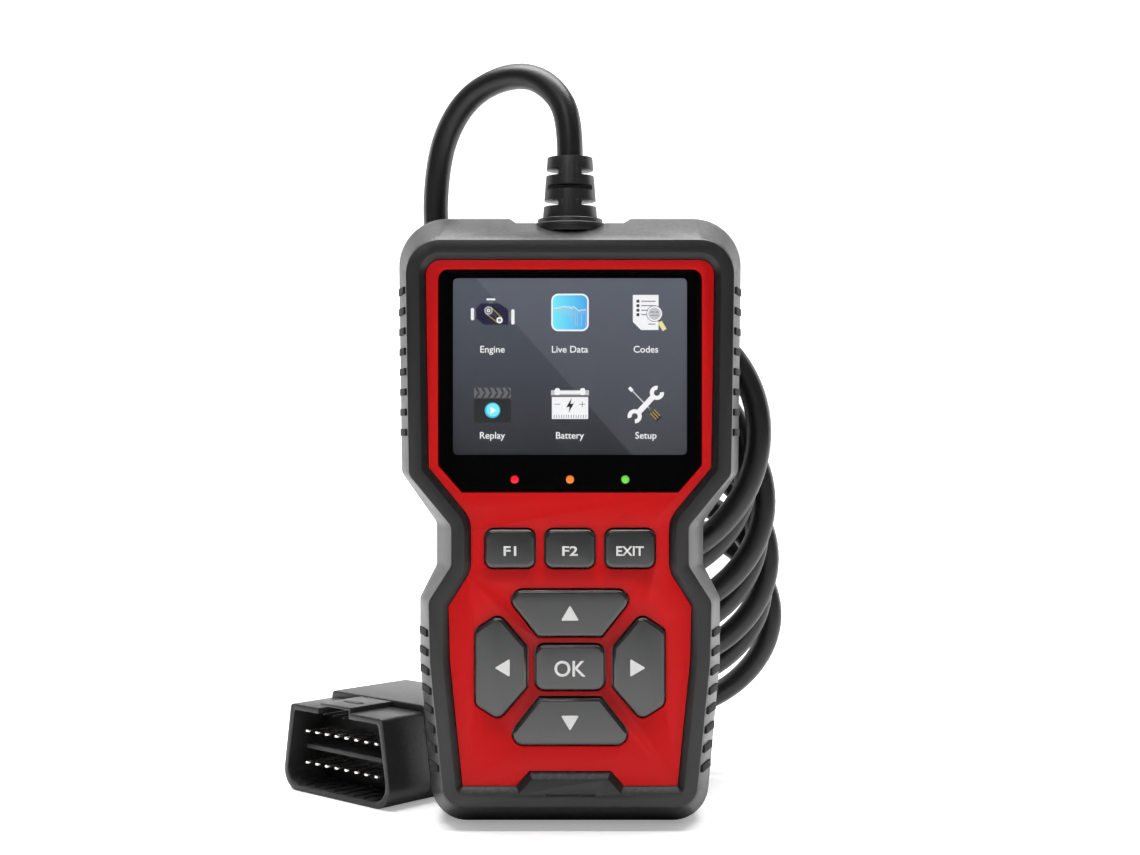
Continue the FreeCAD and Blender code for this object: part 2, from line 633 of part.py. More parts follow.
def rear_shell():
    blank = extrude("ShellBlank", caseOutline, "bandDepth", BACK + " - " + BAND)
    rounded = soften("Part::Fillet", "ShellRounded", blank, flat_at(BACK), "backRound")
    hollow = extrude("ShellHollow", offset("HollowOutline", caseOutline, "0 - shellInset"), "bandDepth",
                     BACK + " - " + BAND + " - wall")
    gland_block = box("GlandBlock", "0 - glandRadius - wall", SPLIT, "caseHeight - cavityInset",
                      "2 * (glandRadius + wall)", BACK + " - backRound - " + SPLIT, "cavityInset - wall / 2")
    bosses = screw_rods("Boss", "bossRadius", BOARD_BACK, BACK + " - wall / 2 - " + BOARD_BACK)
    shell = fuse("ShellSolid", [cut("ShellTub", rounded, [hollow]), gland_block] + bosses)
    tools = screw_rods("ShellHole", "screwRadius + screwGap", BOARD_BACK, BACK + " - " + BOARD_BACK)
    tools += screw_rods("HeadRecess", "headRecess", BACK + " - headDeep", "headDeep")
    tools += gland_bores("Shell") + [notch_cutter("ShellNotch")]
    tools.append(label_plate("LabelRecess"))
    keep(cut("rear_shell", shell, tools), "rear_shell")
    keep(label_plate("rear_label"), "rear_label")


def label_plate(name):
    return box(name, "0 - labelX", BACK + " - labelDeep", "labelZ - labelHigh / 2", "2 * labelX",
               "labelDeep", "labelHigh")


def case_screws():
    heads = screw_rods("ScrewHead", "screwHead", BACK + " - headDeep", "headThick")
    reach = BACK + " - headDeep - " + LEDGE_BACK
    shafts = screw_rods("ScrewShaft", "screwRadius", LEDGE_BACK, reach)
    crosses = []
    for index, (x, z) in enumerate(SCREWS):
        for name, wide, high in (("Across", "crossLong", "crossWide"), ("Upright", "crossWide", "crossLong")):
            crosses.append(box("Cross%s%d" % (name, index), x + " - " + wide + " / 2",
                               BACK + " - headDeep + headThick - crossDeep", z + " - " + high + " / 2",
                               wide, "crossDeep", high))
    keep(cut("case_screws", fuse("ScrewBlanks", heads + shafts), crosses), "case_screws")


# ---- cable entry -----------------------------------------------------------------------------------

def cable_gland():
    body = new_body("cable_gland")
    turned(body, "GlandTurned", SPLIT, [
        ("0", BOOT, None), ("collarRadius", BOOT, None), ("collarRadius", NOTCH_FLOOR, None),
        ("glandRadius", NOTCH_FLOOR, None), ("glandRadius", NOTCH_FLOOR + " - glandDeep", None),
        ("neckRadius", NOTCH_FLOOR + " - glandDeep", None),
        ("neckRadius", "caseHeight - cavityInset", None), ("lockRadius", "caseHeight - cavityInset", None),
        ("lockRadius", LOCK_LOW, None), ("0", LOCK_LOW, None)])


def strain_relief():
    body = new_body("strain_relief")
    turned(body, "BootTurned", SPLIT, [
        ("0", CORD_EXIT, None), ("bootTop", CORD_EXIT, None), ("bootFoot", BOOT, None), ("0", BOOT, None)])
    for name, share in (("LowSlot", 0.25), ("HighSlot", 0.75)):
        for side in ("Left", "Right"):
            sign = "0 - " if side == "Left" else "0 + "
            middle = BOOT + " + bootHigh * %g" % share
            through_slot(body, name + side, SPLIT, [
                (sign + "bootCore", middle + " + bootSlot / 2", None),
                (sign + "bootCore", middle + " - bootSlot / 2", None),
                (sign + "2 * bootFoot", middle + " - bootSlot / 2", None),
                (sign + "2 * bootFoot", middle + " + bootSlot / 2", None)])
    for side in ("Front", "Back"):
        near = SPLIT + (" - " if side == "Front" else " + ") + "bootCore"
        far = SPLIT + (" - " if side == "Front" else " + ") + "2 * bootFoot"
        middle = BOOT + " + bootHigh / 2"
        through_slot(body, "Groove" + side, "0", [
            (near, middle + " + bootGroove / 2", None), (near, middle + " - bootGroove / 2", None),
            (far, middle + " - bootGroove / 2", None), (far, middle + " + bootGroove / 2", None)],
            "YZ_Plane")


# ---- cord ------------------------------------------------------------------------------------------

def cord_tube(name, route):
    # Straight runs joined by tangent arcs, each as large as its two runs allow with a little to spare.
    runShare = 0.45
    points = [Vector(*place) for place in route]
    edges = []
    radii = []
    start = points[0]
    for before, corner, after in zip(points, points[1:], points[2:]):
        back = before - corner
        ahead = after - corner
        turn = math.pi - back.getAngle(ahead)
        setback = runShare * min(back.Length, ahead.Length)
        radii.append(setback / math.tan(turn / 2))
        back.normalize()
        ahead.normalize()
        arc_start = corner + back * setback
        arc_end = corner + ahead * setback
        middle = (back + ahead).normalize()
        reach = radii[-1] / math.cos(turn / 2) - radii[-1]
        edges.append(Part.LineSegment(start, arc_start).toShape())
        edges.append(Part.Arc(arc_start, corner + middle * reach, arc_end).toShape())
        start = arc_end
    edges.append(Part.LineSegment(start, points[-1]).toShape())
    spine = Part.Wire(edges)
    radius = value("cordRadius")
    ring = Part.Wire(Part.makeCircle(radius, points[0], points[1] - points[0]))
    shape = spine.makePipeShell([ring], True, True)
    expected = math.pi * radius ** 2 * spine.Length
    print("%s: length %.1f, least radius %.1f, radii %s, volume / expected %.4f" % (
        name, spine.Length, min(radii), [round(r) for r in radii], shape.Volume / expected))
    item = doc.addObject("Part::Feature", name)
    item.Shape = shape
    keep(item, name)


# the lead loops over the top edge and hangs down behind the case to the coil
leadRoute = [
    (0.0, value(SPLIT), value(CORD_EXIT)), (0.0, value(SPLIT), 174.5), (-2.8, 1.6, 182.2), (-9.4, 5.7, 187.9),
    (-18.0, 10.8, 188.3), (-26.8, 16.1, 184.2), (-33.0, 19.9, 175.0), (-35.4, 21.6, 163.0),
    (-35.6, 22.2, 149.5), (-32.2, 21.0, 133.0), (-26.2, 19.2, 116.5), (-22.0, 18.3, 103.5),
    (-21.4, 18.0, 97.3)]
# the tail lies on the floor in an open loop behind the case and rises to the plug
tailRoute = [
    (12.0, 72.0, 3.8), (25.0, 72.3, 3.4), (37.5, 85.0, 3.4), (37.0, 103.0, 3.4), (24.5, 115.5, 3.4),
    (6.5, 115.0, 3.4), (-5.6, 103.0, 6.6)]


def coil_solid():
    # One closed ring-shaped solid round every turn of the coil. It is round next to the case, and it
    # flattens as it slumps back to the floor.
    def ring(name, kind, radii, place):
        item = doc.addObject(kind, name)
        item.Placement = Placement(Vector(0, 0, 0), UPRIGHT)
        for prop, text in radii:
            bind(item, prop, text)
        for axis, text in zip("xyz", place):
            bind(item, "Placement.Base." + axis, text)
        return item

    near = ("coilStartX", "coilStartY - cordRadius", "coilStartZ")
    far = ("coilEndX", "coilEndY + cordRadius", "coilEndZ")
    lofts = []
    for name, change in (("Outer", " + cordRadius"), ("Inner", " - cordRadius - coilSlack")):
        loft = doc.addObject("Part::Loft", "Coil" + name)
        loft.Sections = [
            ring("Near" + name, "Part::Circle", [("Radius", "coilStartRadius" + change)], near),
            ring("Far" + name, "Part::Ellipse", [("MajorRadius", "coilEndWide" + change),
                                                 ("MinorRadius", "coilEndHigh" + change)], far)]
        loft.Solid = True
        loft.Ruled = True
        lofts.append(loft)
    keep(cut("cable_coil", lofts[0], [lofts[1]]), "cable_coil")


# ---- vehicle plug ----------------------------------------------------------------------------------

plugPlace = Placement(Vector(value("plugX"), value("plugY"), 0), Rotation(Vector(0, 0, 1), value("plugTurn")))


def mouth_corners(inset, raise_top="0"):
    return both_sides([
        ("mouthTopX - " + inset, "mouthHigh + " + raise_top + " - " + inset, "mouthTopRound"),
        ("mouthFootX - " + inset, inset, "mouthFootRound - " + inset + " / 2")])


def on_plug(body):
    body.Placement = plugPlace
    return body


def plug_shell():
    body = on_plug(new_body("plug_shell"))
    pad(body, "ShellTube", "0", mouth_corners("0"), SHELL_LONG)
    pad(body, "KeyRidge", "0", rectangle("keyRidgeX", "mouthHigh - mouthWall", "mouthHigh + keyRidgeHigh"),
        SHELL_LONG)
    pocket(body, "MouthHollow", "0", mouth_corners("mouthWall"), SHELL_LONG)
    pocket(body, "KeySlot", "0", rectangle("keyRidgeX - mouthWall / 2", "mouthHigh - 3 * mouthWall",
                                           "mouthHigh + keyRidgeHigh - mouthWall / 2"), "mouthDeep")


def plug_pin_block():
    body = on_plug(new_body("plug_pin_block"))
    pad(body, "BlockBody", "mouthDeep", mouth_corners("mouthWall"), "blockThick")
    pad(body, "Tongue", "tongueBack",
        rectangle("tongueX", "pinRowZ - tongueHigh / 2", "pinRowZ + tongueHigh / 2"),
        "mouthDeep - tongueBack + blockThick / 2")


def plug_pins():
    pins = []
    for row, level in enumerate(("pinRowZ - pinRowGap / 2", "pinRowZ + pinRowGap / 2")):
        for column in range(int(value("pinColumns"))):
            x = "pinPitch * %d - pinPitch * (pinColumns - 1) / 2 - pinWide / 2" % column
            pins.append(box("Pin%d%d" % (row, column), x, "pinBack", level + " - pinHigh / 2", "pinWide",
                            "mouthDeep - pinBack", "pinHigh"))
    keep(fuse("plug_pins", pins), "plug_pins").Placement = plugPlace


def cover_half(name, low, high):
    # One half of the hollow cover behind the mouth, closed by its end wall and tapering to the cord.
    body = on_plug(new_body(name))
    corners = mouth_corners("0", "coverRaise")
    pad(body, name + "_wall", SHELL_LONG, corners, "coverLong")
    taper = body.newObject("PartDesign::AdditiveLoft", name + "_taper")
    taper.Profile = body_sketch(body, name + "_end", COVER_END, corners)
    taper.Sections = [body_sketch(body, name + "_tip", TAIL_START, both_sides([
        ("coverTailX", "pinRowZ + coverTailHigh / 2", "mouthTopRound"),
        ("coverTailX", "pinRowZ - coverTailHigh / 2", "2 * mouthTopRound")]))]
    taper.Ruled = True
    pocket(body, name + "_hollow", SHELL_LONG, mouth_corners("coverWall"), "coverLong - coverWall")
    through_slot(body, name + "_other_half", "0", rectangle("2 * mouthFootX", low, high))
    return body


def plug_tail():
    body = on_plug(new_body("plug_strain_relief"))
    feature = body.newObject("PartDesign::AdditiveLoft", "TailCone")
    feature.Profile = tail_ring(body, "TailFoot", TAIL_START, "tailFoot")
    feature.Sections = [tail_ring(body, "TailTip", TAIL_START + " + tailLong", "tailTop")]
    for index in range(int(value("tailSlots"))):
        level = TAIL_START + " + tailSlotFirst + %d * tailSlotPitch" % index
        for side in ("0 + ", "0 - "):
            through_slot(body, "TailSlot%d%s" % (index, "A" if side == "0 + " else "B"), "pinRowZ", [
                (side + "tailCore", level + " - tailSlotLong / 2", None),
                (side + "tailCore", level + " + tailSlotLong / 2", None),
                (side + "2 * tailFoot", level + " + tailSlotLong / 2", None),
                (side + "2 * tailFoot", level + " - tailSlotLong / 2", None)], "XY_Plane")


def tail_ring(body, name, depth, radius):
    sketch = body_sketch(body, name, depth, [])
    circle = sketch.addGeometry(Part.Circle(Vector(0, value("pinRowZ"), 0), Vector(0, 0, 1), value(radius)))
    sketch.addConstraint(Sketcher.Constraint("PointOnObject", circle, 3, -2))
    level = sketch.addConstraint(Sketcher.Constraint("DistanceY", -1, 1, circle, 3, value("pinRowZ")))
    size = sketch.addConstraint(Sketcher.Constraint("Radius", circle, value(radius)))
    bind(sketch, "Constraints[%d]" % level, "pinRowZ")
    bind(sketch, "Constraints[%d]" % size, radius)
    return sketch


def plug_points():
    # The last two points of the cord, on the plug's own axis.
    along = value(TAIL_START + " + tailLong")
    ends = [plugPlace.multVec(Vector(0, along + more, value("pinRowZ")))
            for more in (value("cordStraight"), 0.0)]
    return [tuple(point) for point in ends]


front_bezel()
for name in KEYS:
    key(name)
face_plate()
screen()
board_parts()
rear_shell()
case_screws()
cable_gland()
strain_relief()
cord_tube("cable_lead", leadRoute)
coil_solid()
cord_tube("cable_tail", tailRoute + plug_points())
plug_shell()
plug_pin_block()
plug_pins()
cover_half("plug_cover_top", "0 - mouthWall", "coverSplit")
cover_half("plug_cover_bottom", "coverSplit", "2 * mouthHigh")
plug_tail()
doc.recompute()


def check():
    faults = []
    for item in doc.Objects:
        if "Invalid" in item.State or "Error" in item.State:
            faults.append("%s is %s" % (item.Name, item.State))
    for item in pieces:
        if item.Shape.isNull() or not item.Shape.isValid() or item.Shape.Volume <= 0:
            faults.append(item.Label + " has no sound shape")
    for item in cuts:
        base = item.Base if hasattr(item, "Base") and item.isDerivedFrom("Part::Cut") else item.BaseFeature
        if item.Shape.Volume >= base.Shape.Volume - 1e-6:
            faults.append(item.Name + " cuts nothing")
    if faults:
        raise RuntimeError("; ".join(faults))


check()
os.makedirs("parts", exist_ok=True)
for item in pieces:
    item.Shape.exportStep("parts/" + item.Label + ".step")
print("%d pieces written" % len(pieces))
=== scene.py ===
import bpy
import bmesh
import math
from mathutils import Matrix, Vector


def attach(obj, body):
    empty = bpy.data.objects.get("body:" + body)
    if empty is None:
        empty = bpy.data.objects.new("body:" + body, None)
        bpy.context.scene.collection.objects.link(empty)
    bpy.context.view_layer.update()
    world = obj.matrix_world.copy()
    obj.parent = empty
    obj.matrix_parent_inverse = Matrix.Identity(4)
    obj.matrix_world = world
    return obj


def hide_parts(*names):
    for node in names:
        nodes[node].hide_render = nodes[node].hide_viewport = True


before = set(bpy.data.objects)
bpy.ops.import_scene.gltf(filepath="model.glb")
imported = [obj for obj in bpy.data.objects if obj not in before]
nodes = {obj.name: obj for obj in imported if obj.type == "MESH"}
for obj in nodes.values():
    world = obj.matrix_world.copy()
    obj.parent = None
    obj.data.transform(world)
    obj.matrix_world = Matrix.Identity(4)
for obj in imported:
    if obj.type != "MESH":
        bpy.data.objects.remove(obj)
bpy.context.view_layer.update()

scene = bpy.context.scene
mm = 0.001


# view, floor and light

stageSizes = {
    "eye": (0.0, -0.4135, 0.0982), "lens": 52.0,
    "floorHalf": 2.4, "wallAt": 1.3, "wallHigh": 2.6, "bend": 0.5,
    "paper": (0.9, 0.9, 0.9), "paperLift": 0.30, "airGlow": 0.12,
    "lamps": {
        "overhead": {"at": (0.0, 0.02, 0.80), "aim": (0, 0.0, 0.08), "size": (0.9, 0.30), "watts": 9.5},
        "front": {"at": (-0.2, -1.0, 0.75), "aim": (0, 0, 0.08), "size": (0.5, 0.4), "watts": 1.9},
        "leftSide": {"at": (-0.62, 0.42, 0.26), "aim": (0, 0, 0.12), "size": (0.35, 0.5), "watts": 1.3},
        "rightSide": {"at": (0.62, 0.42, 0.26), "aim": (0, 0, 0.12), "size": (0.35, 0.5), "watts": 1.3},
        "wallWash": {"at": (0.0, 0.55, 1.5), "aim": (0, 1.3, 0.35), "size": (1.6, 0.4), "watts": 22.0},
    },
}


def tone(red, green, blue):
    # display colour, 0 to 255, as a linear one
    def linear(part):
        part = part / 255
        return part / 12.92 if part <= 0.04045 else ((part + 0.055) / 1.055) ** 2.4
    return (linear(red), linear(green), linear(blue), 1.0)


def aimed(at, target):
    return (Vector(target) - Vector(at)).to_track_quat("-Z", "Y")


def setCamera():
    eye = bpy.data.cameras.new("eye")
    eye.lens = stageSizes["lens"]
    eye.sensor_width = 36.0
    eye.clip_start = 0.01
    holder = bpy.data.objects.new("eye", eye)
    holder.location = stageSizes["eye"]
    holder.rotation_euler = (math.pi / 2, 0, 0)
    scene.collection.objects.link(holder)
    scene.camera = holder


def setLamps():
    for name, lamp in stageSizes["lamps"].items():
        light = bpy.data.lights.new(name, "AREA")
        light.shape = "RECTANGLE"
        light.size, light.size_y = lamp["size"]
        light.energy = lamp["watts"]
        holder = bpy.data.objects.new(name, light)
        holder.location = lamp["at"]
        holder.rotation_mode = "QUATERNION"
        holder.rotation_quaternion = aimed(lamp["at"], lamp["aim"])
        scene.collection.objects.link(holder)
    air = bpy.data.worlds.new("studioAir")
    air.use_nodes = True
    glow = air.node_tree.nodes["Background"]
    glow.inputs["Color"].default_value = (1.0, 1.0, 1.0, 1.0)
    rays = air.node_tree.nodes.new("ShaderNodeLightPath")
    seen = air.node_tree.nodes.new("ShaderNodeMath")
    seen.operation = "MULTIPLY_ADD"
    seen.inputs[1].default_value = 1.0 - stageSizes["airGlow"]
    seen.inputs[2].default_value = stageSizes["airGlow"]
    air.node_tree.links.new(rays.outputs["Is Camera Ray"], seen.inputs[0])
    air.node_tree.links.new(seen.outputs[0], glow.inputs["Strength"])
    scene.world = air
    scene.view_settings.view_transform = "Standard"


def put(node, values):
    for name, value in values.items():
        node.inputs[name].default_value = value


def setPaper():
    # floor and wall in one sheet of pale paper, with a round bend between them
    half = stageSizes["floorHalf"]
    bend = stageSizes["bend"]
    wall = stageSizes["wallAt"]
    line = [(-half, 0.0), (wall - bend, 0.0)]
    for step in range(1, 13):
        turn = math.radians(90 * step / 12)
        line.append((wall - bend + bend * math.sin(turn), bend - bend * math.cos(turn)))
    line.append((wall, stageSizes["wallHigh"]))
    points = [(side * half, y, z) for y, z in line for side in (-1, 1)]
    faces = [(k, k + 1, k + 3, k + 2) for k in range(0, len(points) - 2, 2)]
    mesh = bpy.data.meshes.new("paper")
    mesh.from_pydata(points, [], faces)
    for face in mesh.polygons:
        face.use_smooth = True
    paper = bpy.data.objects.new("paper", mesh)
    scene.collection.objects.link(paper)
    finish = bpy.data.materials.new("palePaper")
    finish.use_nodes = True
    shader = finish.node_tree.nodes["Principled BSDF"]
    put(shader, {"Base Color": (*stageSizes["paper"], 1.0), "Roughness": 0.8,
                 "Emission Color": (1.0, 1.0, 1.0, 1.0)})
    rays = finish.node_tree.nodes.new("ShaderNodeLightPath")
    lift = finish.node_tree.nodes.new("ShaderNodeMath")
    lift.operation = "MULTIPLY"
    lift.inputs[1].default_value = stageSizes["paperLift"]
    finish.node_tree.links.new(rays.outputs["Is Camera Ray"], lift.inputs[0])
    finish.node_tree.links.new(lift.outputs[0], shader.inputs["Emission Strength"])
    mesh.materials.append(finish)


setCamera()
setLamps()
setPaper()
print("stage ready")


# cable: one line from the boot over the top, round the coil and along the floor to the plug

cable = {
    "radius": 3.25,
    "lead": [(0.0, 0.0, 165.75), (0.0, 0.0, 174.5), (-2.8, 1.6, 182.2), (-9.4, 5.7, 187.9),
             (-18.0, 10.8, 188.3), (-26.8, 16.1, 184.2), (-33.0, 19.9, 175.0), (-35.4, 21.6, 163.0),
             (-35.6, 22.2, 149.5), (-32.2, 21.0, 133.0), (-26.2, 19.2, 116.5), (-22.0, 18.3, 103.5)],
    "tail": [(25.0, 72.3, 3.4), (37.5, 85.0, 3.4), (37.0, 103.0, 3.4), (24.5, 115.5, 3.4),
             (6.5, 115.0, 3.4), (-5.6, 103.0, 6.6), (-6.13, 83.05, 11.9), (-19.51, 68.19, 11.9)],
    "perTurn": 16, "fromAngle": 180.0,
    # the outline at each end: its centre, half width and half height
    "near": (14.1, 18.0, 97.3, 35.5, 35.5), "far": (20.5, 72.0, 32.9, 39.5, 29.5),
    # turn, share of the way back, how much smaller than the outline, how far the turn strays
    "stations": [(0.0, 0.0, 0.0, 0.0), (0.5, 0.0, 0.0, 0.3), (1.5, 0.16, 3.4, -0.4),
                 (2.5, 0.30, 0.0, 0.4), (3.5, 0.43, 1.8, -0.4), (4.5, 0.555, 0.0, 0.4),
                 (5.5, 0.685, 1.8, -0.3), (6.5, 0.825, 0.0, 0.2), (7.25, 1.0, 0.0, 0.0)],
    "length": 1.81,
}


def coilStation(turn):
    for first, second in zip(cable["stations"], cable["stations"][1:]):
        if turn <= second[0]:
            share = (turn - first[0]) / (second[0] - first[0])
            return [a + (b - a) * share for a, b in zip(first, second)][1:]
    return cable["stations"][-1][1:]


def coilPoints():
    steps = int(cable["stations"][-1][0] * cable["perTurn"])
    swell = 1 + 0.5 * (1 / math.cos(math.pi / cable["perTurn"]) - 1)
    points = []
    for step in range(steps + 1):
        turn = step / cable["perTurn"]
        share, smaller, stray = coilStation(turn)
        x, y, z, wide, high = [a + (b - a) * share for a, b in zip(cable["near"], cable["far"])]
        angle = math.radians(cable["fromAngle"]) + 2 * math.pi * turn
        points.append((x + (wide * swell - smaller + stray) * math.cos(angle), y + 0.5 * stray,
                       z + (high * swell - smaller + 0.5 * stray) * math.sin(angle)))
    return points


def makeCable():
    route = cable["lead"] + coilPoints() + cable["tail"]
    line = bpy.data.curves.new("cable", "CURVE")
    line.dimensions = "3D"
    line.bevel_depth = cable["radius"] * mm
    line.bevel_resolution = 6
    line.resolution_u = 6
    line.use_fill_caps = True
    spline = line.splines.new("NURBS")
    spline.points.add(len(route) - 1)
    for point, place in zip(spline.points, route):
        point.co = (*[value * mm for value in place], 1.0)
    spline.order_u = 3
    spline.use_endpoint_u = True
    piece = bpy.data.objects.new("cable", line)
    scene.collection.objects.link(piece)
    return piece


cablePiece = makeCable()
print("cable ready")


# shared effects

def startGroup(name, inputs, outputs):
    group = bpy.data.node_groups.new(name, "ShaderNodeTree")
    for socketName, value in inputs.items():
        socket = group.interface.new_socket(name=socketName, in_out="INPUT", socket_type="NodeSocketFloat")
        socket.default_value = value
    for socketName in outputs:
        group.interface.new_socket(name=socketName, in_out="OUTPUT", socket_type="NodeSocketFloat")
    return group, group.nodes.new("NodeGroupInput"), group.nodes.new("NodeGroupOutput")


def mathNode(tree, kind, first, second=None, clamp=False):
    node = tree.nodes.new("ShaderNodeMath")
    node.operation = kind
    node.use_clamp = clamp
    for index, source in enumerate((first, second)):
        if source is None:
            continue
        if isinstance(source, (int, float)):
            node.inputs[index].default_value = source
        else:
            tree.links.new(source, node.inputs[index])
    return node.outputs[0]


def noiseNode(tree, scale, detail=4.0, rough=0.55):
    coords = tree.nodes.new("ShaderNodeTexCoord")
    noise = tree.nodes.new("ShaderNodeTexNoise")
    put(noise, {"Detail": detail, "Roughness": rough})
    if isinstance(scale, (int, float)):
        noise.inputs["Scale"].default_value = scale
    else:
        tree.links.new(scale, noise.inputs["Scale"])
    tree.links.new(coords.outputs["Object"], noise.inputs["Vector"])
    return noise.outputs["Fac"]


def grainGroup():
    # moulded texture: fine pits with a slower cloud over them
    group, entry, leave = startGroup("mouldedGrain", {"Scale": 2600.0, "Cloud": 60.0}, ["Height", "Shade"])
    coords = group.nodes.new("ShaderNodeTexCoord")
    cells = group.nodes.new("ShaderNodeTexVoronoi")
    cells.feature = "SMOOTH_F1"
    group.links.new(coords.outputs["Object"], cells.inputs["Vector"])
    group.links.new(entry.outputs["Scale"], cells.inputs["Scale"])
    fine = noiseNode(group, entry.outputs["Scale"], 3.0)
    cloud = noiseNode(group, entry.outputs["Cloud"], 5.0)
    height = mathNode(group, "ADD", cells.outputs["Distance"], fine)
    group.links.new(height, leave.inputs["Height"])
    shade = mathNode(group, "MULTIPLY", mathNode(group, "ADD", cloud, fine), 0.5)
    group.links.new(shade, leave.inputs["Shade"])
    return group


def wearGroup():
    # where edges have been rubbed: the surface's turn, broken up by scratches
    group, entry, leave = startGroup("rubbedEdges", {"Reach": 0.0004, "Amount": 0.3}, ["Mask"])
    rounded = group.nodes.new("ShaderNodeBevel")
    rounded.samples = 4
    group.links.new(entry.outputs["Reach"], rounded.inputs["Radius"])
    place = group.nodes.new("ShaderNodeNewGeometry")
    agree = group.nodes.new("ShaderNodeVectorMath")
    agree.operation = "DOT_PRODUCT"
    group.links.new(rounded.outputs["Normal"], agree.inputs[0])
    group.links.new(place.outputs["Normal"], agree.inputs[1])
    turn = mathNode(group, "MULTIPLY", mathNode(group, "SUBTRACT", 1.0, agree.outputs["Value"]), 6.0, True)
    broken = mathNode(group, "SUBTRACT", noiseNode(group, 420.0, 6.0, 0.7), 0.34)
    patch = mathNode(group, "MULTIPLY", turn, mathNode(group, "MULTIPLY", broken, 3.0, True))
    group.links.new(mathNode(group, "MULTIPLY", patch, entry.outputs["Amount"], True), leave.inputs["Mask"])
    return group


def dustGroup():
    # faint dust that settles on faces that look up
    group, entry, leave = startGroup("settledDust", {"Amount": 0.15}, ["Mask"])
    place = group.nodes.new("ShaderNodeNewGeometry")
    parts = group.nodes.new("ShaderNodeSeparateXYZ")
    group.links.new(place.outputs["Normal"], parts.inputs[0])
    upward = mathNode(group, "MULTIPLY", parts.outputs["Z"], 1.0, True)
    motes = mathNode(group, "SUBTRACT", noiseNode(group, 900.0, 6.0, 0.75), 0.45)
    specks = mathNode(group, "MULTIPLY", motes, 4.0, True)
    settled = mathNode(group, "MULTIPLY", upward, specks)
    mask = mathNode(group, "MULTIPLY", settled, entry.outputs["Amount"], True)
    group.links.new(mask, leave.inputs["Mask"])
    return group


def patchGroup():
    # a soft-edged rectangle seen from the front, used for the painted shade that gathers between keys
    names = ("Middle X", "Middle Z", "Half Width", "Half Height", "Fade", "Amount")
    group, entry, leave = startGroup("paintedShadePatch", dict.fromkeys(names, 0.01), ["Mask"])
    coords = group.nodes.new("ShaderNodeTexCoord")
    parts = group.nodes.new("ShaderNodeSeparateXYZ")
    group.links.new(coords.outputs["Object"], parts.inputs[0])
    sides = []
    for axis, middle, half in (("X", "Middle X", "Half Width"), ("Z", "Middle Z", "Half Height")):
        offset = mathNode(group, "SUBTRACT", parts.outputs[axis], entry.outputs[middle])
        away = mathNode(group, "ABSOLUTE", offset)
        inside = mathNode(group, "SUBTRACT", entry.outputs[half], away)
        sides.append(mathNode(group, "DIVIDE", inside, entry.outputs["Fade"], True))
    soft = mathNode(group, "SMOOTH_MIN", sides[0], sides[1])
    group.links.new(mathNode(group, "MULTIPLY", soft, entry.outputs["Amount"], True), leave.inputs["Mask"])
    return group


paintedShadePatch = patchGroup()
mouldedGrain = grainGroup()
rubbedEdges = wearGroup()
settledDust = dustGroup()


def placed(tree, group, **values):
    node = tree.nodes.new("ShaderNodeGroup")
    node.node_tree = group
    put(node, values)
    return node


def blended(tree, share, first, second):
    mix = tree.nodes.new("ShaderNodeMix")
    mix.data_type = "RGBA"
    for name, source in (("Factor", share), ("A", first), ("B", second)):
        socket = mix.inputs[name]
        if isinstance(source, (tuple, float, int)):
            socket.default_value = source
        else:
            tree.links.new(source, socket)
    return mix.outputs["Result"]


def startFinish(name):
    finish = bpy.data.materials.new(name)
    finish.use_nodes = True
    return finish, finish.node_tree, finish.node_tree.nodes["Principled BSDF"]


def moulded(name, colour, rough, grain=2600.0, cloud=60.0, relief=0.12, spread=0.10, wear=0.25, reach=0.0004,
            dust=0.12, metallic=0.0, worn=None, coat=0.0, gleam=0.5):
    # a moulded, printed or plated surface: clouded colour, rubbed edges, dust, fine relief
    finish, tree, shader = startFinish(name)
    texture = placed(tree, mouldedGrain, Scale=grain, Cloud=cloud)
    rubbed = placed(tree, rubbedEdges, Reach=reach, Amount=wear)
    dusted = placed(tree, settledDust, Amount=dust)
    dark = tuple(part * (1 - spread) for part in colour[:3]) + (1.0,)
    pale = tuple(min(1.0, part * (1 + spread)) for part in colour[:3]) + (1.0,)
    rubbedColour = worn or tuple(min(1.0, part * 1.9 + 0.02) for part in colour[:3]) + (1.0,)
    base = blended(tree, texture.outputs["Shade"], dark, pale)
    base = blended(tree, rubbed.outputs["Mask"], base, rubbedColour)
    base = blended(tree, dusted.outputs["Mask"], base, (0.42, 0.41, 0.39, 1.0))
    tree.links.new(base, shader.inputs["Base Color"])
    uneven = mathNode(tree, "MULTIPLY", mathNode(tree, "SUBTRACT", texture.outputs["Shade"], 0.5), 0.22)
    wiped = mathNode(tree, "MULTIPLY", rubbed.outputs["Mask"], -0.12)
    roughness = mathNode(tree, "ADD", mathNode(tree, "ADD", uneven, wiped), rough)
    clouded = mathNode(tree, "ADD", roughness, mathNode(tree, "MULTIPLY", dusted.outputs["Mask"], 0.4), True)
    tree.links.new(clouded, shader.inputs["Roughness"])
    bump = tree.nodes.new("ShaderNodeBump")
    put(bump, {"Strength": relief, "Distance": 0.0001})
    tree.links.new(texture.outputs["Height"], bump.inputs["Height"])
    tree.links.new(bump.outputs["Normal"], shader.inputs["Normal"])
    put(shader, {"Metallic": metallic, "Specular IOR Level": gleam, "Coat Weight": coat})
    return finish


def lit(name, colour, fleck=0.05):
    # a glowing print on the display
    finish, tree, shader = startFinish(name)
    cells = noiseNode(tree, 1600.0, 2.0)
    dark = tuple(part * (1 - fleck) for part in colour[:3]) + (1.0,)
    pale = tuple(min(1.0, part * (1 + fleck)) for part in colour[:3]) + (1.0,)
    tree.links.new(blended(tree, cells, dark, pale), shader.inputs["Emission Color"])
    put(shader, {"Base Color": (0.01, 0.01, 0.01, 1.0), "Emission Strength": 1.0, "Roughness": 0.6})
    return finish


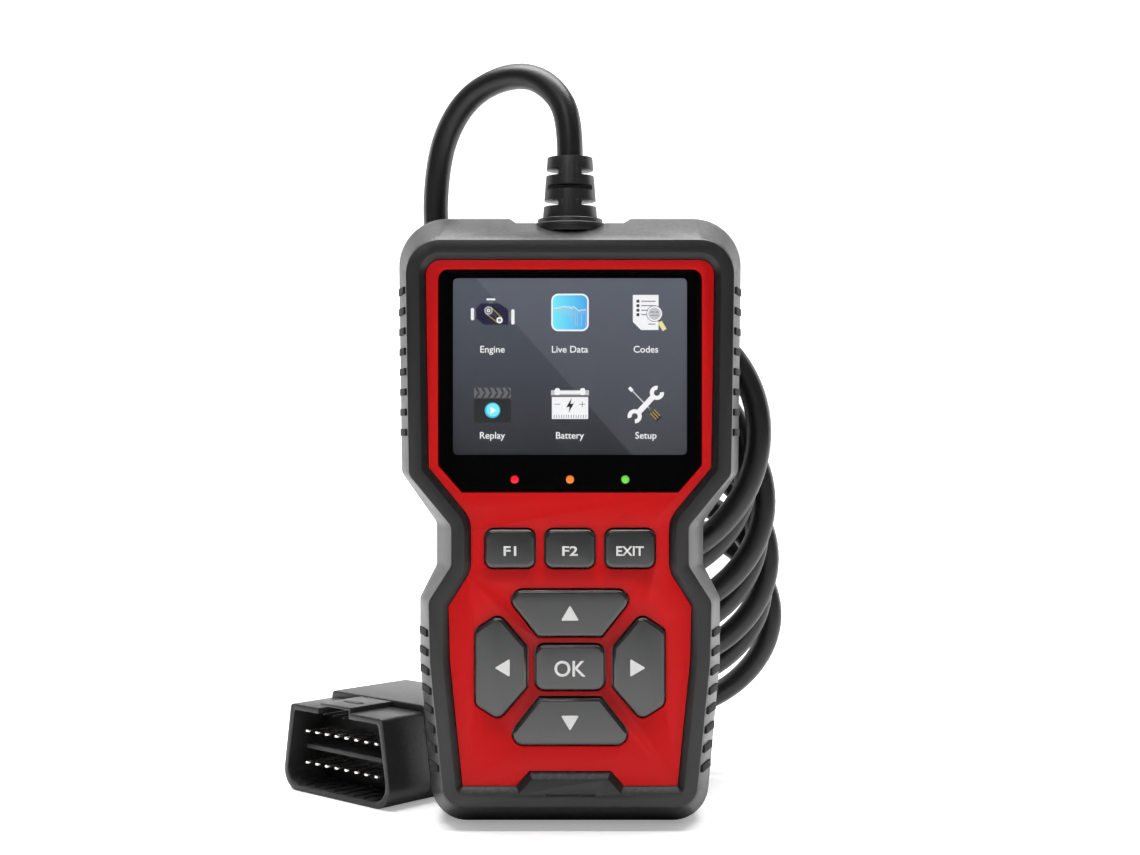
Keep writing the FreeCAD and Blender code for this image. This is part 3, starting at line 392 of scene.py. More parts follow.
def shadePatches(finish, patches):
    # paint shade into a finish's colour inside soft patches, given in millimetres
    tree = finish.node_tree
    shader = tree.nodes["Principled BSDF"]
    colour = shader.inputs["Base Color"].links[0].from_socket
    for *sizes, amount in patches:
        patch = placed(tree, paintedShadePatch)
        for name, size in zip(("Middle X", "Middle Z", "Half Width", "Half Height", "Fade"), sizes):
            patch.inputs[name].default_value = size * mm
        patch.inputs["Amount"].default_value = amount
        colour = blended(tree, patch.outputs["Mask"], colour, (0.02, 0.004, 0.004, 1.0))
    tree.links.new(colour, shader.inputs["Base Color"])


finishRows = {
    "caseCharcoal": (tone(34, 34, 35), 0.36, dict(relief=0.14, wear=0.3)),
    # the grip ribs' copy of the case plastic, turned dull so that they read dark: painted shade
    "shadedRibs": (tone(36, 36, 37), 0.7, dict(relief=0.2, wear=0.1, dust=0.05, gleam=0.12)),
    # a darker copy of the case plastic for the bezel's chamfer: painted shade
    "bezelPaintedShade": (tone(12, 12, 13), 0.4, dict(relief=0.08, wear=0.1)),
    "plateRed": (tone(210, 5, 8), 0.46, dict(grain=3400.0, relief=0.06, spread=0.04, wear=0.15,
                                             worn=tone(225, 60, 55), dust=0.02, gleam=0.2)),
    "keyCharcoal": (tone(33, 34, 34), 0.2, dict(grain=3800.0, relief=0.04, spread=0.05, wear=0.1,
                                                dust=0.0, gleam=1.0)),
    "legendWhite": (tone(228, 228, 226), 0.5, dict(relief=0.04, spread=0.03, wear=0.0, dust=0.0)),
    "bootRubber": (tone(28, 28, 29), 0.4, dict(grain=2200.0, relief=0.2, wear=0.25)),
    "cordJacket": (tone(17, 17, 18), 0.38, dict(grain=1800.0, cloud=120.0, relief=0.22, wear=0.0,
                                                dust=0.04)),
    "plugPlastic": (tone(38, 38, 39), 0.36, dict(grain=1900.0, relief=0.25, wear=0.35)),
    # a darker copy of the plug plastic: painted shade for the pin block deep in the mouth, the groove on top
    # and the dimples on the boot
    "paintedShadeDark": (tone(18, 18, 19), 0.45, dict(grain=1900.0, relief=0.2, wear=0.1)),
    "pinNickel": ((0.86, 0.84, 0.80, 1.0), 0.22, dict(grain=1500.0, relief=0.05, spread=0.04, wear=0.2,
                                                      metallic=1.0, worn=(0.95, 0.93, 0.9, 1.0))),
    "screwSteel": ((0.16, 0.16, 0.165, 1.0), 0.34, dict(grain=1400.0, relief=0.08, metallic=1.0,
                                                        worn=(0.6, 0.6, 0.6, 1.0), wear=0.5)),
    "labelGrey": (tone(168, 170, 172), 0.44, dict(grain=3000.0, relief=0.05, spread=0.03)),
    "labelInk": (tone(52, 54, 57), 0.5, dict(relief=0.03, spread=0.05, wear=0.0, dust=0.0)),
    "trayWhite": (tone(214, 214, 208), 0.5, dict(relief=0.1, spread=0.03)),
    "boardGreen": (tone(22, 92, 52), 0.3, dict(grain=700.0, cloud=220.0, relief=0.2, spread=0.25,
                                               coat=0.3)),
    "chipBlack": (tone(26, 26, 27), 0.55, dict(relief=0.15)),
    "headerIvory": (tone(226, 220, 200), 0.45, dict(relief=0.08, spread=0.03)),
    "wireBlack": (tone(24, 24, 24), 0.4, dict(relief=0.05)),
    "matGrey": (tone(120, 122, 124), 0.6, dict(relief=0.1)),
    "switchSteel": ((0.55, 0.55, 0.56, 1.0), 0.3, dict(metallic=1.0, relief=0.05)),
    "panelGlass": (tone(16, 17, 20), 0.2, dict(relief=0.02)),
}
finishes = {name: moulded(name, colour, rough, **more) for name, (colour, rough, more) in finishRows.items()}
# painted shade on the red plate: a soft dark patch round the arrow keys and one under each key of the top row
shadePatches(finishes["plateRed"], [(0.0, 39.5, 22.0, 17.0, 9.0, 0.5), (-14.6, 63.5, 7.5, 4.5, 3.5, 0.32),
                                    (0.0, 63.5, 7.5, 4.5, 3.5, 0.32), (14.6, 63.5, 7.5, 4.5, 3.5, 0.32)])
print("finishes ready")


# shapes carried over with their edges eased

def onBody(piece, body, replaced=()):
    if piece.name not in scene.collection.objects:
        scene.collection.objects.link(piece)
    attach(piece, body)
    if replaced:
        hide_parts(*replaced)
    return piece


def plainMesh(piece):
    # the piece's mesh with its modifiers in it
    bpy.context.view_layer.update()
    seen = piece.evaluated_get(bpy.context.evaluated_depsgraph_get())
    mesh = bpy.data.meshes.new_from_object(seen)
    piece.modifiers.clear()
    old = piece.data
    piece.data = mesh
    mesh.name = piece.name
    bpy.data.meshes.remove(old)
    return piece


edging = {"weld": 2e-6, "flat": 0.5, "turn": 28.0, "sharp": 34.0, "rowSharp": 40.0, "segments": 2}


def eased(node, width, finish, body="case"):
    mesh = nodes[node].data.copy()
    mesh.materials.clear()
    work = bmesh.new()
    work.from_mesh(mesh)
    bmesh.ops.remove_doubles(work, verts=work.verts, dist=edging["weld"])
    bmesh.ops.dissolve_limit(work, angle_limit=math.radians(edging["flat"]), verts=work.verts,
                             edges=work.edges)
    work.to_mesh(mesh)
    work.free()
    mesh.materials.append(finish)
    piece = bpy.data.objects.new(node + "_eased", mesh)
    scene.collection.objects.link(piece)
    if width:
        edges = piece.modifiers.new("edges", "BEVEL")
        edges.width = width * mm
        edges.segments = edging["segments"]
        edges.limit_method = "ANGLE"
        edges.angle_limit = math.radians(edging["turn"])
        edges.use_clamp_overlap = True
        plainMesh(piece)
    piece.data.shade_smooth()
    piece.data.set_sharp_from_angle(angle=math.radians(edging["sharp"]))
    return onBody(piece, body, [node])


easing = {
    "front_bezel": (0.22, "caseCharcoal", "case_plastic"),
    "rear_shell": (0.25, "caseCharcoal", "case_plastic"),
    "face_plate": (0.16, "plateRed", "plate_red"),
    "cable_gland": (0.25, "bootRubber", "boot_rubber"),
    "strain_relief": (0.22, "bootRubber", "boot_rubber"),
    "plug_strain_relief": (0.2, "bootRubber", "boot_rubber"),
    "plug_shell": (0.22, "plugPlastic", "plug_plastic"),
    "plug_cover_top": (0.35, "plugPlastic", "plug_plastic"),
    "plug_cover_bottom": (0.35, "plugPlastic", "plug_plastic"),
    # the pin block deep in the mouth takes the darker copy: painted shade
    "plug_pin_block": (0.12, "paintedShadeDark", "plug_plastic"),
}
skins = {}
for node, (width, finish, slotName) in easing.items():
    skins[node] = eased(node, width, finishes[finish])


def paintChamferShade(piece):
    # painted shade: the slope between the rim and the plate gets a darker copy of the case plastic, for the
    # shadow that falls on it
    piece.data.materials.append(finishes["bezelPaintedShade"])
    for face in piece.data.polygons:
        if -13.46 * mm < face.center.y < -12.04 * mm and 0.3 < -face.normal.y < 0.95:
            face.material_index = 1


paintChamferShade(skins["front_bezel"])

shadedRibs = {"high": 1.7, "slack": 0.1, "out": 24.0, "banks": [(97.0, 4.96), (14.9, 4.72)], "count": 8}


def paintRibShade(piece):
    # painted shade: the grip ribs get a copy of the case plastic with less gleam and more roughness, so they
    # read dark against the lit sides they stand on
    piece.data.materials.append(finishes["shadedRibs"])
    last = len(piece.data.materials) - 1
    levels = [low + step * k for low, step in shadedRibs["banks"] for k in range(shadedRibs["count"])]
    half = shadedRibs["high"] / 2 + shadedRibs["slack"]
    for face in piece.data.polygons:
        heights = [piece.data.vertices[k].co.z / mm for k in face.vertices]
        if abs(face.center.x) > shadedRibs["out"] * mm and any(
                level - half < min(heights) and max(heights) < level + half for level in levels):
            face.material_index = last


paintRibShade(skins["front_bezel"])

keyNames = ["key_f1", "key_f2", "key_exit", "key_up", "key_down", "key_left", "key_right", "key_ok"]
for node in keyNames:
    skins[node] = eased(node, 0.0, finishes["keyCharcoal"], body=node)
print("eased shapes ready")

plainFinish = {
    "lcd_panel": "panelGlass", "lcd_tray": "trayWhite", "keypad_mat": "matGrey",
    "key_switches": "switchSteel", "main_board": "boardGreen", "board_chips": "chipBlack",
    "buzzer": "chipBlack", "cable_header": "headerIvory", "inner_wires": "wireBlack",
    "rear_label": "labelGrey",
}
for node, finish in plainFinish.items():
    mesh = nodes[node].data
    mesh.materials.clear()
    mesh.materials.append(finishes[finish])


# flat prints: closed slabs in millimetres, read from the front

def roundedBox(wide, high, radius, x=0.0, z=0.0, steps=5):
    points = []
    for side, level, start in ((1, -1, -90), (1, 1, 0), (-1, 1, 90), (-1, -1, 180)):
        for step in range(steps + 1):
            angle = math.radians(start + 90 * step / steps)
            points.append((x + side * (wide / 2 - radius) + radius * math.cos(angle),
                           z + level * (high / 2 - radius) + radius * math.sin(angle)))
    return points


def disc(radius, x=0.0, z=0.0, count=36):
    return [(x + radius * math.cos(2 * math.pi * k / count), z + radius * math.sin(2 * math.pi * k / count))
            for k in range(count)]


def bar(x1, z1, x2, z2, wide):
    along = Vector((x2 - x1, z2 - z1)).normalized() * wide / 2
    out = Vector((along.y, -along.x))
    return [(x1 + out.x, z1 + out.y), (x2 + out.x, z2 + out.y),
            (x2 - out.x, z2 - out.y), (x1 - out.x, z1 - out.y)]


def jaw(outer, inner, x, z, facing, half):
    # an open spanner end that faces along an angle
    arc = [math.radians(facing + half + (360 - 2 * half) * k / 20) for k in range(21)]
    return ([(x + outer * math.cos(a), z + outer * math.sin(a)) for a in arc]
            + [(x + inner * math.cos(a), z + inner * math.sin(a)) for a in reversed(arc)])


def softCorners(points, radius, steps=4):
    result = []
    for index, corner in enumerate(points):
        here = Vector(corner)
        back = (Vector(points[index - 1]) - here).normalized() * radius
        ahead = (Vector(points[(index + 1) % len(points)]) - here).normalized() * radius
        for step in range(steps + 1):
            share = step / steps
            place = here + back * (1 - share) ** 2 + ahead * share ** 2
            result.append(tuple(place))
    return result


def addSlab(work, outline, front, deep, finish=0):
    near = [work.verts.new((x * mm, front * mm, z * mm)) for x, z in outline]
    far = [work.verts.new((x * mm, (front + deep) * mm, z * mm)) for x, z in outline]
    faces = [work.faces.new(near), work.faces.new(list(reversed(far)))]
    for first, a in enumerate(near):
        second = (first + 1) % len(near)
        faces.append(work.faces.new((near[second], a, far[first], far[second])))
    for face in faces:
        face.material_index = finish


def addRing(work, outer, inner, front, deep, finish=0):
    loops = [[work.verts.new((x * mm, y * mm, z * mm)) for x, z in line]
             for y in (front, front + deep) for line in (outer, inner)]
    nearOut, nearIn, farOut, farIn = loops
    for a in range(len(outer)):
        b = (a + 1) % len(outer)
        for corners in ((nearOut[a], nearOut[b], nearIn[b], nearIn[a]),
                        (farOut[b], farOut[a], farIn[a], farIn[b]),
                        (nearOut[b], nearOut[a], farOut[a], farOut[b]),
                        (nearIn[a], nearIn[b], farIn[b], farIn[a])):
            work.faces.new(corners).material_index = finish


def finished(name, work, materials, body="case"):
    mesh = bpy.data.meshes.new(name)
    work.to_mesh(mesh)
    work.free()
    for material in materials:
        mesh.materials.append(material)
    return onBody(bpy.data.objects.new(name, mesh), body)


def printed(name, words, high, x, z, front, material, wide=None, weight=0.0, body="case"):
    # lettering of a given capital height in millimetres, centred at x and z
    text = bpy.data.curves.new(name, "FONT")
    text.body = words
    text.size = high * mm / 0.7
    text.extrude = 0.015 * mm
    text.offset = weight * mm
    text.resolution_u = 4
    holder = bpy.data.objects.new(name, text)
    scene.collection.objects.link(holder)
    bpy.context.view_layer.update()
    mesh = bpy.data.meshes.new_from_object(holder.evaluated_get(bpy.context.evaluated_depsgraph_get()))
    bpy.data.objects.remove(holder)
    across = [v.co.x for v in mesh.vertices]
    stretch = wide * mm / (max(across) - min(across)) if wide else 1.0
    mesh.transform(Matrix.Translation((-(max(across) + min(across)) / 2, -high * mm / 2, 0)))
    mesh.transform(Matrix.Diagonal((stretch, 1, 1, 1)))
    mesh.transform(Matrix.Rotation(math.pi / 2, 4, "X"))
    mesh.transform(Matrix.Translation((x * mm, front * mm, z * mm)))
    mesh.materials.clear()
    mesh.materials.append(material)
    return onBody(bpy.data.objects.new(name, mesh), body)


# display, its cover glass and the printed border

display = {
    "glassBack": -10.5, "panelFront": -9.6, "thick": 0.03, "step": 0.014,
    # the slant and the glare sizes place a painted reflection of glare: a paler half past a slanted line
    # across the display
    "slant": (0.749, 0.0, 0.662), "paintedGlareSharp": 2500.0, "paintedGlareShare": 0.07,
    "paintedGlareTint": (0.45, 0.47, 0.55, 1.0),
    "halfX": 28.6, "lowZ": 91.5, "topZ": 134.7, "corner": 1.1,
    "border": [(31.9, 136.5, 2.3), (31.9, 89.05, 0.4), (26.25, 82.6, 0.4)],   # half outline: x, z, corner
    "topGlow": (78, 82, 94), "footGlow": (31, 33, 39), "paintedGlareLine": 0.0717, "columns": (-19.0, 0.0, 18.6),
    "iconRows": (126.4, 103.9), "wordRows": (117.4, 96.3), "wordHigh": 1.65,
    "words": [["Engine", "Live Data", "Codes"], ["Replay", "Battery", "Setup"]],
}


def glowFade(name, lowColour, highColour, low, high, axis, paintedGlareLine=None):
    # a glow that fades from one place to another along an axis, with an optional paler half past a slant: a
    # painted reflection of glare on the cover glass
    finish, tree, shader = startFinish(name)
    coords = tree.nodes.new("ShaderNodeTexCoord")
    parts = tree.nodes.new("ShaderNodeSeparateXYZ")
    tree.links.new(coords.outputs["Object"], parts.inputs[0])
    share = tree.nodes.new("ShaderNodeMapRange")
    put(share, {"From Min": low * mm, "From Max": high * mm})
    tree.links.new(parts.outputs[axis], share.inputs["Value"])
    glow = blended(tree, share.outputs["Result"], lowColour, highColour)
    if paintedGlareLine:
        slant = tree.nodes.new("ShaderNodeVectorMath")
        slant.operation = "DOT_PRODUCT"
        slant.inputs[1].default_value = display["slant"]
        tree.links.new(coords.outputs["Object"], slant.inputs[0])
        beyond = mathNode(tree, "SUBTRACT", slant.outputs["Value"], paintedGlareLine)
        past = mathNode(tree, "MULTIPLY", beyond, display["paintedGlareSharp"], True)
        paintedGlareMask = mathNode(tree, "MULTIPLY", past, display["paintedGlareShare"])
        glow = blended(tree, paintedGlareMask, glow, display["paintedGlareTint"])
    fleck = mathNode(tree, "MULTIPLY", noiseNode(tree, 1800.0, 2.0), 0.04)
    tree.links.new(blended(tree, fleck, glow, (0.0, 0.0, 0.0, 1.0)), shader.inputs["Emission Color"])
    put(shader, {"Base Color": (0.008, 0.008, 0.01, 1.0), "Emission Strength": 1.0, "Roughness": 0.5})
    return finish


def coverGlass():
    finish, tree, shader = startFinish("coverGlass")
    put(shader, {"Base Color": (0.97, 0.98, 0.98, 1.0), "Transmission Weight": 1.0, "IOR": 1.22})
    smear = mathNode(tree, "MULTIPLY", noiseNode(tree, 45.0, 5.0), 0.05)
    tree.links.new(smear, shader.inputs["Roughness"])
    return finish


def halfOutline(corners):
    right = [(x, z) for x, z, radius in corners]
    points = [(-x, z) for x, z in right]
    loop = points + list(reversed(right))
    return softCorners(loop, 1.0)


def starLoop(outline, middle, angles):
    # where rays from the middle meet an outline, so that two outlines can share one ring
    points = []
    for angle in angles:
        way = Vector((math.cos(angle), math.sin(angle)))
        best = None
        for a, b in zip(outline, outline[1:] + outline[:1]):
            start = Vector(a) - Vector(middle)
            edge = Vector(b) - Vector(a)
            cross = way.x * edge.y - way.y * edge.x
            if abs(cross) < 1e-9:
                continue
            reach = (start.x * edge.y - start.y * edge.x) / cross
            share = (start.x * way.y - start.y * way.x) / cross
            if reach > 0 and -1e-6 <= share <= 1 + 1e-6:
                best = reach if best is None else max(best, reach)
        points.append((middle[0] + way.x * best, middle[1] + way.y * best))
    return points


def makeDisplay():
    finishes["coverGlass"] = coverGlass()
    lens = nodes["screen_lens"].data
    lens.materials.clear()
    lens.materials.append(finishes["coverGlass"])
    finishes["borderBlack"] = moulded("borderBlack", tone(4, 4, 5), 0.6, relief=0.01, spread=0.05, wear=0.0,
                                      dust=0.0, gleam=0.0)
    high = display["topZ"] - display["lowZ"]
    middle = (0.0, display["lowZ"] + high / 2)
    window = roundedBox(2 * display["halfX"], high, display["corner"], 0, middle[1])
    border = halfOutline(display["border"])
    angles = sorted({round(math.atan2(z - middle[1], x - middle[0]), 5) for x, z in window + border})
    work = bmesh.new()
    addRing(work, starLoop(border, middle, angles), starLoop(window, middle, angles),
            display["glassBack"] - 0.06, 0.04)
    finished("lens_print", work, [finishes["borderBlack"]])
    # the wallpaper fades from its foot to its top; its paler half past the slant is a painted reflection of
    # glare on the glass
    finishes["wallpaperWithPaintedGlare"] = glowFade("wallpaperWithPaintedGlare", tone(*display["footGlow"]), tone(*display["topGlow"]),
                                     display["lowZ"] + 2, display["topZ"] - 2, "Z", paintedGlareLine=display["paintedGlareLine"])
    work = bmesh.new()
    addSlab(work, roundedBox(2 * display["halfX"] + 0.6, high + 0.6, display["corner"], 0, middle[1]),
            display["panelFront"] - display["thick"], display["thick"] - 0.004)
    finished("display_wallpaper_with_painted_glare", work, [finishes["wallpaperWithPaintedGlare"]])


inks = {
    "white": lit("inkWhite", tone(246, 246, 248)), "pale": lit("inkPale", tone(196, 198, 204)),
    "grey": lit("inkGrey", tone(104, 104, 104)), "dark": lit("inkDark", tone(24, 24, 26)),
    "navy": lit("inkNavy", tone(20, 14, 52)), "slate": lit("inkSlate", tone(44, 48, 62)),
    "sky": glowFade("inkSky", tone(118, 240, 255), tone(66, 164, 240), -4.5, 4.5, "X"),
    "blue": lit("inkBlue", tone(58, 186, 222)), "gold": lit("inkGold", tone(206, 180, 92)),
    "straw": lit("inkStraw", tone(238, 226, 160)),
}


def engineIcon():
    body = [(-2.8, 2.2), (-4.0, 1.0), (-4.0, -1.4), (-2.1, -3.0), (3.9, -3.0), (3.9, 0.6), (1.7, 2.2)]
    return [(roundedBox(0.8, 3.0, 0.3, -4.9, -0.4), 0, "white"),
            (roundedBox(0.8, 3.7, 0.3, 5.0, -1.1), 0, "white"),
            (roundedBox(0.5, 1.6, 0.1, -4.3, -0.4), 1, "grey"),
            (roundedBox(0.6, 2.2, 0.1, 4.3, -1.0), 1, "grey"),
            (roundedBox(2.2, 0.5, 0.2, -0.4, 3.2), 0, "white"),
            (roundedBox(1.1, 0.8, 0.1, -0.4, 2.6), 0, "grey"), (body, 2, "navy"),
            (bar(-0.4, 1.3, 2.3, -1.3, 0.16), 3, "gold"), (bar(-1.7, -0.2, 1.2, -2.5, 0.16), 3, "gold"),
            (bar(-0.5, 0.3, 1.6, -1.6, 0.5), 3, "slate"), (disc(1.0, -0.97, 0.46), 4, "pale"),
            (disc(0.72, -0.97, 0.46), 5, "slate"), (disc(0.45, -0.97, 0.46), 6, "white"),
            (disc(0.2, -0.97, 0.46), 7, "slate"), (disc(0.78, 1.73, -1.9), 4, "white"),
            (disc(0.34, 1.73, -1.9), 5, "slate"), (disc(0.14, 1.73, -1.9), 6, "pale")]


def graphIcon():
    shapes = [(roundedBox(9.2, 9.2, 1.7), 0, "white"), (roundedBox(8.4, 8.4, 1.35), 1, "sky")]
    tops = [0.9, 1.1, 1.0, 1.35, 1.3, 1.55, 1.2, 1.5, 0.9, 1.45, 1.2, 0.6, 0.3, 0.75, 0.5, 0.8]
    feet = [0.1, -0.2, -0.1, -0.6, -0.5, -0.7, -0.4, -0.9, -2.4, -1.1, -3.2, -3.4, -0.2, -3.3, -0.4, -3.2]
    across = [-3.9 + 0.52 * k for k in range(16)]
    for k in range(15):
        shapes.append((bar(across[k], tops[k], across[k + 1], tops[k + 1], 0.16), 2, "white"))
    for x, top, foot in zip(across, tops, feet):
        shapes.append((bar(x, foot, x, top, 0.12), 3, "pale"))
    return shapes


def listIcon():
    page = [(-3.2, 4.3), (-3.2, -2.3), (-1.2, -4.3), (3.1, -4.3), (3.1, 4.3)]
    shapes = [(page, 0, "white")]
    for row in range(4):
        level = 2.75 - 1.1 * row
        shapes.append((roundedBox(0.72, 0.72, 0.12, -1.95, level), 1, "slate"))
        shapes.append((bar(-1.15, level, 2.4, level, 0.2), 1, "slate"))
    shapes.append((bar(0.6, -2.85, 2.3, -2.85, 0.2), 1, "slate"))
    shapes += [(disc(2.0, 2.1, -0.3), 2, "grey"), (disc(1.85, 2.1, -0.3), 3, "white"),
               (disc(1.5, 2.1, -0.3), 4, "pale"),
               (bar(1.2, 0.1, 2.0, 0.1, 0.18), 5, "slate"), (bar(2.3, 0.1, 3.0, 0.1, 0.18), 5, "slate"),
               (bar(1.1, -0.7, 3.1, -0.7, 0.14), 5, "grey"),
               (bar(3.2, -1.9, 3.5, -2.4, 0.5), 2, "slate"), (bar(3.4, -2.3, 4.6, -4.3, 1.1), 3, "straw")]
    return shapes


def replayIcon():
    shapes = [(roundedBox(9.1, 5.8, 0.5, 0, -1.6), 0, "dark"), (bar(-4.5, 2.8, 4.5, 2.8, 2.5), 0, "grey")]
    for k in range(6):
        x = -4.3 + 1.5 * k
        shapes.append(([(x, 1.6), (x + 0.6, 1.6), (x + 1.3, 2.75), (x + 0.7, 2.75)], 1, "slate"))
        shapes.append(([(x + 0.7, 2.85), (x + 1.3, 2.85), (x + 0.6, 4.0), (x, 4.0)], 1, "slate"))
    return shapes + [(disc(1.9, 0, -1.5), 1, "blue"), (disc(1.6, 0.1, -1.4), 2, "sky"),
                     ([(-0.5, -2.4), (1.1, -1.5), (-0.5, -0.6)], 3, "white")]


def batteryIcon():
    bolt = [(0.4, 1.5), (-0.95, -0.75), (-0.1, -0.65), (-0.35, -2.1), (0.95, 0.2), (0.1, 0.1)]
    shapes = [(roundedBox(8.9, 5.4, 0.15, 0, -0.9), 0, "white"),
              (roundedBox(9.3, 0.5, 0.1, 0, 2.0), 1, "grey"),
              (roundedBox(9.3, 1.3, 0.1, 0, 2.8), 0, "pale"), (roundedBox(7.6, 0.7, 0.1, 0, 2.9), 1, "white"),
              (roundedBox(1.2, 1.7, 0.4, -3.1, 3.1), 2, "white"),
              (roundedBox(1.2, 1.7, 0.4, 3.1, 3.1), 2, "white"), (bolt, 1, "dark"),
              (bar(-3.8, 0.0, -2.4, 0.0, 0.16), 1, "grey"), (bar(2.3, 0.0, 3.7, 0.0, 0.16), 1, "grey"),
              (bar(3.0, -0.7, 3.0, 0.7, 0.16), 1, "grey")]
    for k in range(14):
        x = -3.9 + 0.6 * k
        shapes.append((bar(x, -3.4, x, -2.6, 0.14), 1, "grey"))
    return shapes


def toolsIcon():
    shapes = [(bar(-3.6, 3.6, 0.9, -1.1, 0.32), 0, "pale"), (bar(-4.1, 4.1, -3.3, 3.25, 0.8), 0, "white"),
              (bar(0.7, -0.9, 1.3, -1.6, 0.5), 1, "grey"), (bar(1.3, -1.5, 3.3, -3.7, 1.7), 1, "dark")]
    for k in (-0.45, 0.0, 0.45):
        shapes.append((bar(1.5 + k, -1.7 + k, 3.0 + k, -3.3 + k, 0.2), 2, "gold"))
    shapes += [(bar(-2.0, -2.2, 1.9, 2.0, 1.35), 3, "white"),
               (jaw(1.75, 0.75, -2.75, -2.95, 235, 38), 4, "white"),
               (jaw(1.75, 0.75, 2.7, 2.8, 45, 38), 4, "white")]
    return shapes


def makeIcons():
    sets = [[engineIcon, graphIcon, listIcon], [replayIcon, batteryIcon, toolsIcon]]
    order = list(inks)
    for row, level in enumerate(display["iconRows"]):
        for column, x in enumerate(display["columns"]):
            work = bmesh.new()
            for outline, layer, ink in sets[row][column]():
                front = display["panelFront"] - 2 * display["thick"] - display["step"] * layer
                moved = [(x + a, level + b) for a, b in outline]
                addSlab(work, moved, front, display["thick"], order.index(ink))
            name = "icon_" + sets[row][column].__name__.replace("Icon", "")
            finished(name, work, [inks[ink] for ink in order])
            words = display["words"][row][column]
            printed("caption_" + words.lower().replace(" ", "_"), words, display["wordHigh"], x,
                    display["wordRows"][row], display["panelFront"] - 1.6 * display["thick"], inks["white"],
                    weight=0.02)


makeDisplay()
makeIcons()
print("display ready")


# pieces that repeat: one mesh set out in columns and rows
def rowsTree():
    tree = bpy.data.node_groups.new("rowsOfPieces", "GeometryNodeTree")
    for name, kind in (("Piece", "Geometry"), ("Columns", "Int"), ("Rows", "Int"), ("Column Step", "Float"),
                       ("Row Step", "Float"), ("Start", "Vector"), ("Turn", "Float"), ("Seed", "Int"),
                       ("Finish", "Material")):
        tree.interface.new_socket(name=name, in_out="INPUT", socket_type="NodeSocket" + kind)
    tree.interface.new_socket(name="Pieces", in_out="OUTPUT", socket_type="NodeSocketGeometry")
    entry = tree.nodes.new("NodeGroupInput")
    leave = tree.nodes.new("NodeGroupOutput")

    def line(count, step, axis):
        way = tree.nodes.new("ShaderNodeCombineXYZ")
        tree.links.new(entry.outputs[step], way.inputs[axis])
        node = tree.nodes.new("GeometryNodeMeshLine")
        tree.links.new(entry.outputs[count], node.inputs["Count"])
        tree.links.new(way.outputs[0], node.inputs["Offset"])
        return node

    def copies(points, piece):
        node = tree.nodes.new("GeometryNodeInstanceOnPoints")
        tree.links.new(points, node.inputs["Points"])
        tree.links.new(piece, node.inputs["Instance"])
        return node

    across = line("Columns", "Column Step", "X")
    tree.links.new(entry.outputs["Start"], across.inputs["Start Location"])
    upward = line("Rows", "Row Step", "Z")
    spots = tree.nodes.new("GeometryNodeRealizeInstances")
    tree.links.new(copies(across.outputs[0], upward.outputs[0]).outputs[0], spots.inputs[0])
    pieces = copies(spots.outputs[0], entry.outputs["Piece"])
    chance = tree.nodes.new("FunctionNodeRandomValue")
    chance.data_type = "FLOAT_VECTOR"
    chance.inputs[0].default_value = (0.0, 0.0, 0.0)
    most = tree.nodes.new("ShaderNodeCombineXYZ")
    tree.links.new(entry.outputs["Turn"], most.inputs["Y"])
    tree.links.new(most.outputs[0], chance.inputs[1])
    tree.links.new(entry.outputs["Seed"], chance.inputs["Seed"])
    tree.links.new(chance.outputs[0], pieces.inputs["Rotation"])
    solid = tree.nodes.new("GeometryNodeRealizeInstances")
    tree.links.new(pieces.outputs[0], solid.inputs[0])
    coated = tree.nodes.new("GeometryNodeSetMaterial")
    tree.links.new(solid.outputs[0], coated.inputs["Geometry"])
    tree.links.new(entry.outputs["Finish"], coated.inputs["Material"])
    tree.links.new(coated.outputs[0], leave.inputs[0])
    return tree


rowsOfPieces = rowsTree()


def setOut(name, work, finish, columns, rows, columnStep, rowStep, start, turn=0.0, seed=1):
    # steps and start in millimetres
    mesh = bpy.data.meshes.new(name)
    work.to_mesh(mesh)
    work.free()
    mesh.shade_smooth()
    mesh.set_sharp_from_angle(angle=math.radians(edging["rowSharp"]))
    piece = bpy.data.objects.new(name, mesh)
    scene.collection.objects.link(piece)
    spread = piece.modifiers.new("rows", "NODES")
    spread.node_group = rowsOfPieces
    wanted = {"Columns": columns, "Rows": rows, "Column Step": columnStep * mm, "Row Step": rowStep * mm,
              "Start": [part * mm for part in start], "Turn": turn, "Seed": seed, "Finish": finish}
    for socket in rowsOfPieces.interface.items_tree:
        if socket.in_out == "INPUT" and socket.name in wanted:
            spread[socket.identifier] = wanted[socket.name]
    return plainMesh(piece)


def lofted(rings):
    # rings of equal counts in millimetres, joined in turn and closed at both ends
    work = bmesh.new()
    loops = [[work.verts.new([part * mm for part in point]) for point in ring] for ring in rings]
    for first, second in zip(loops, loops[1:]):
        for a in range(len(first)):
            b = (a + 1) % len(first)
            work.faces.new((first[b], first[a], second[a], second[b]))
    work.faces.new(loops[0])
    work.faces.new(list(reversed(loops[-1])))
    bmesh.ops.recalc_face_normals(work, faces=work.faces)
    return work


def upright(outline, y):
    return [(x, y, z) for x, z in outline]


def together(piece, other):
    # one mesh from two pieces
    work = bmesh.new()
    work.from_mesh(piece.data)
    work.from_mesh(other.data)
    work.to_mesh(piece.data)
    work.free()
    spare = other.data
    bpy.data.objects.remove(other)
    bpy.data.meshes.remove(spare)
    return piece


# screws in the back
screws = {
    "head": 2.0, "lip": 1.86, "under": 11.9, "edge": 12.85, "top": 13.1, "shank": 1.0, "thread": 0.8,
    "tip": -7.6, "point": 0.3, "taper": 0.9, "plain": 6.0, "mostTurn": 1.5,
    "cross": (0.28, 1.1), "crossFloor": 12.4, "pitch": 0.9,
    "rows": [(34.6, 138.4, 3), (26.8, 12.2, 8)],   # half spacing, height, seed
}


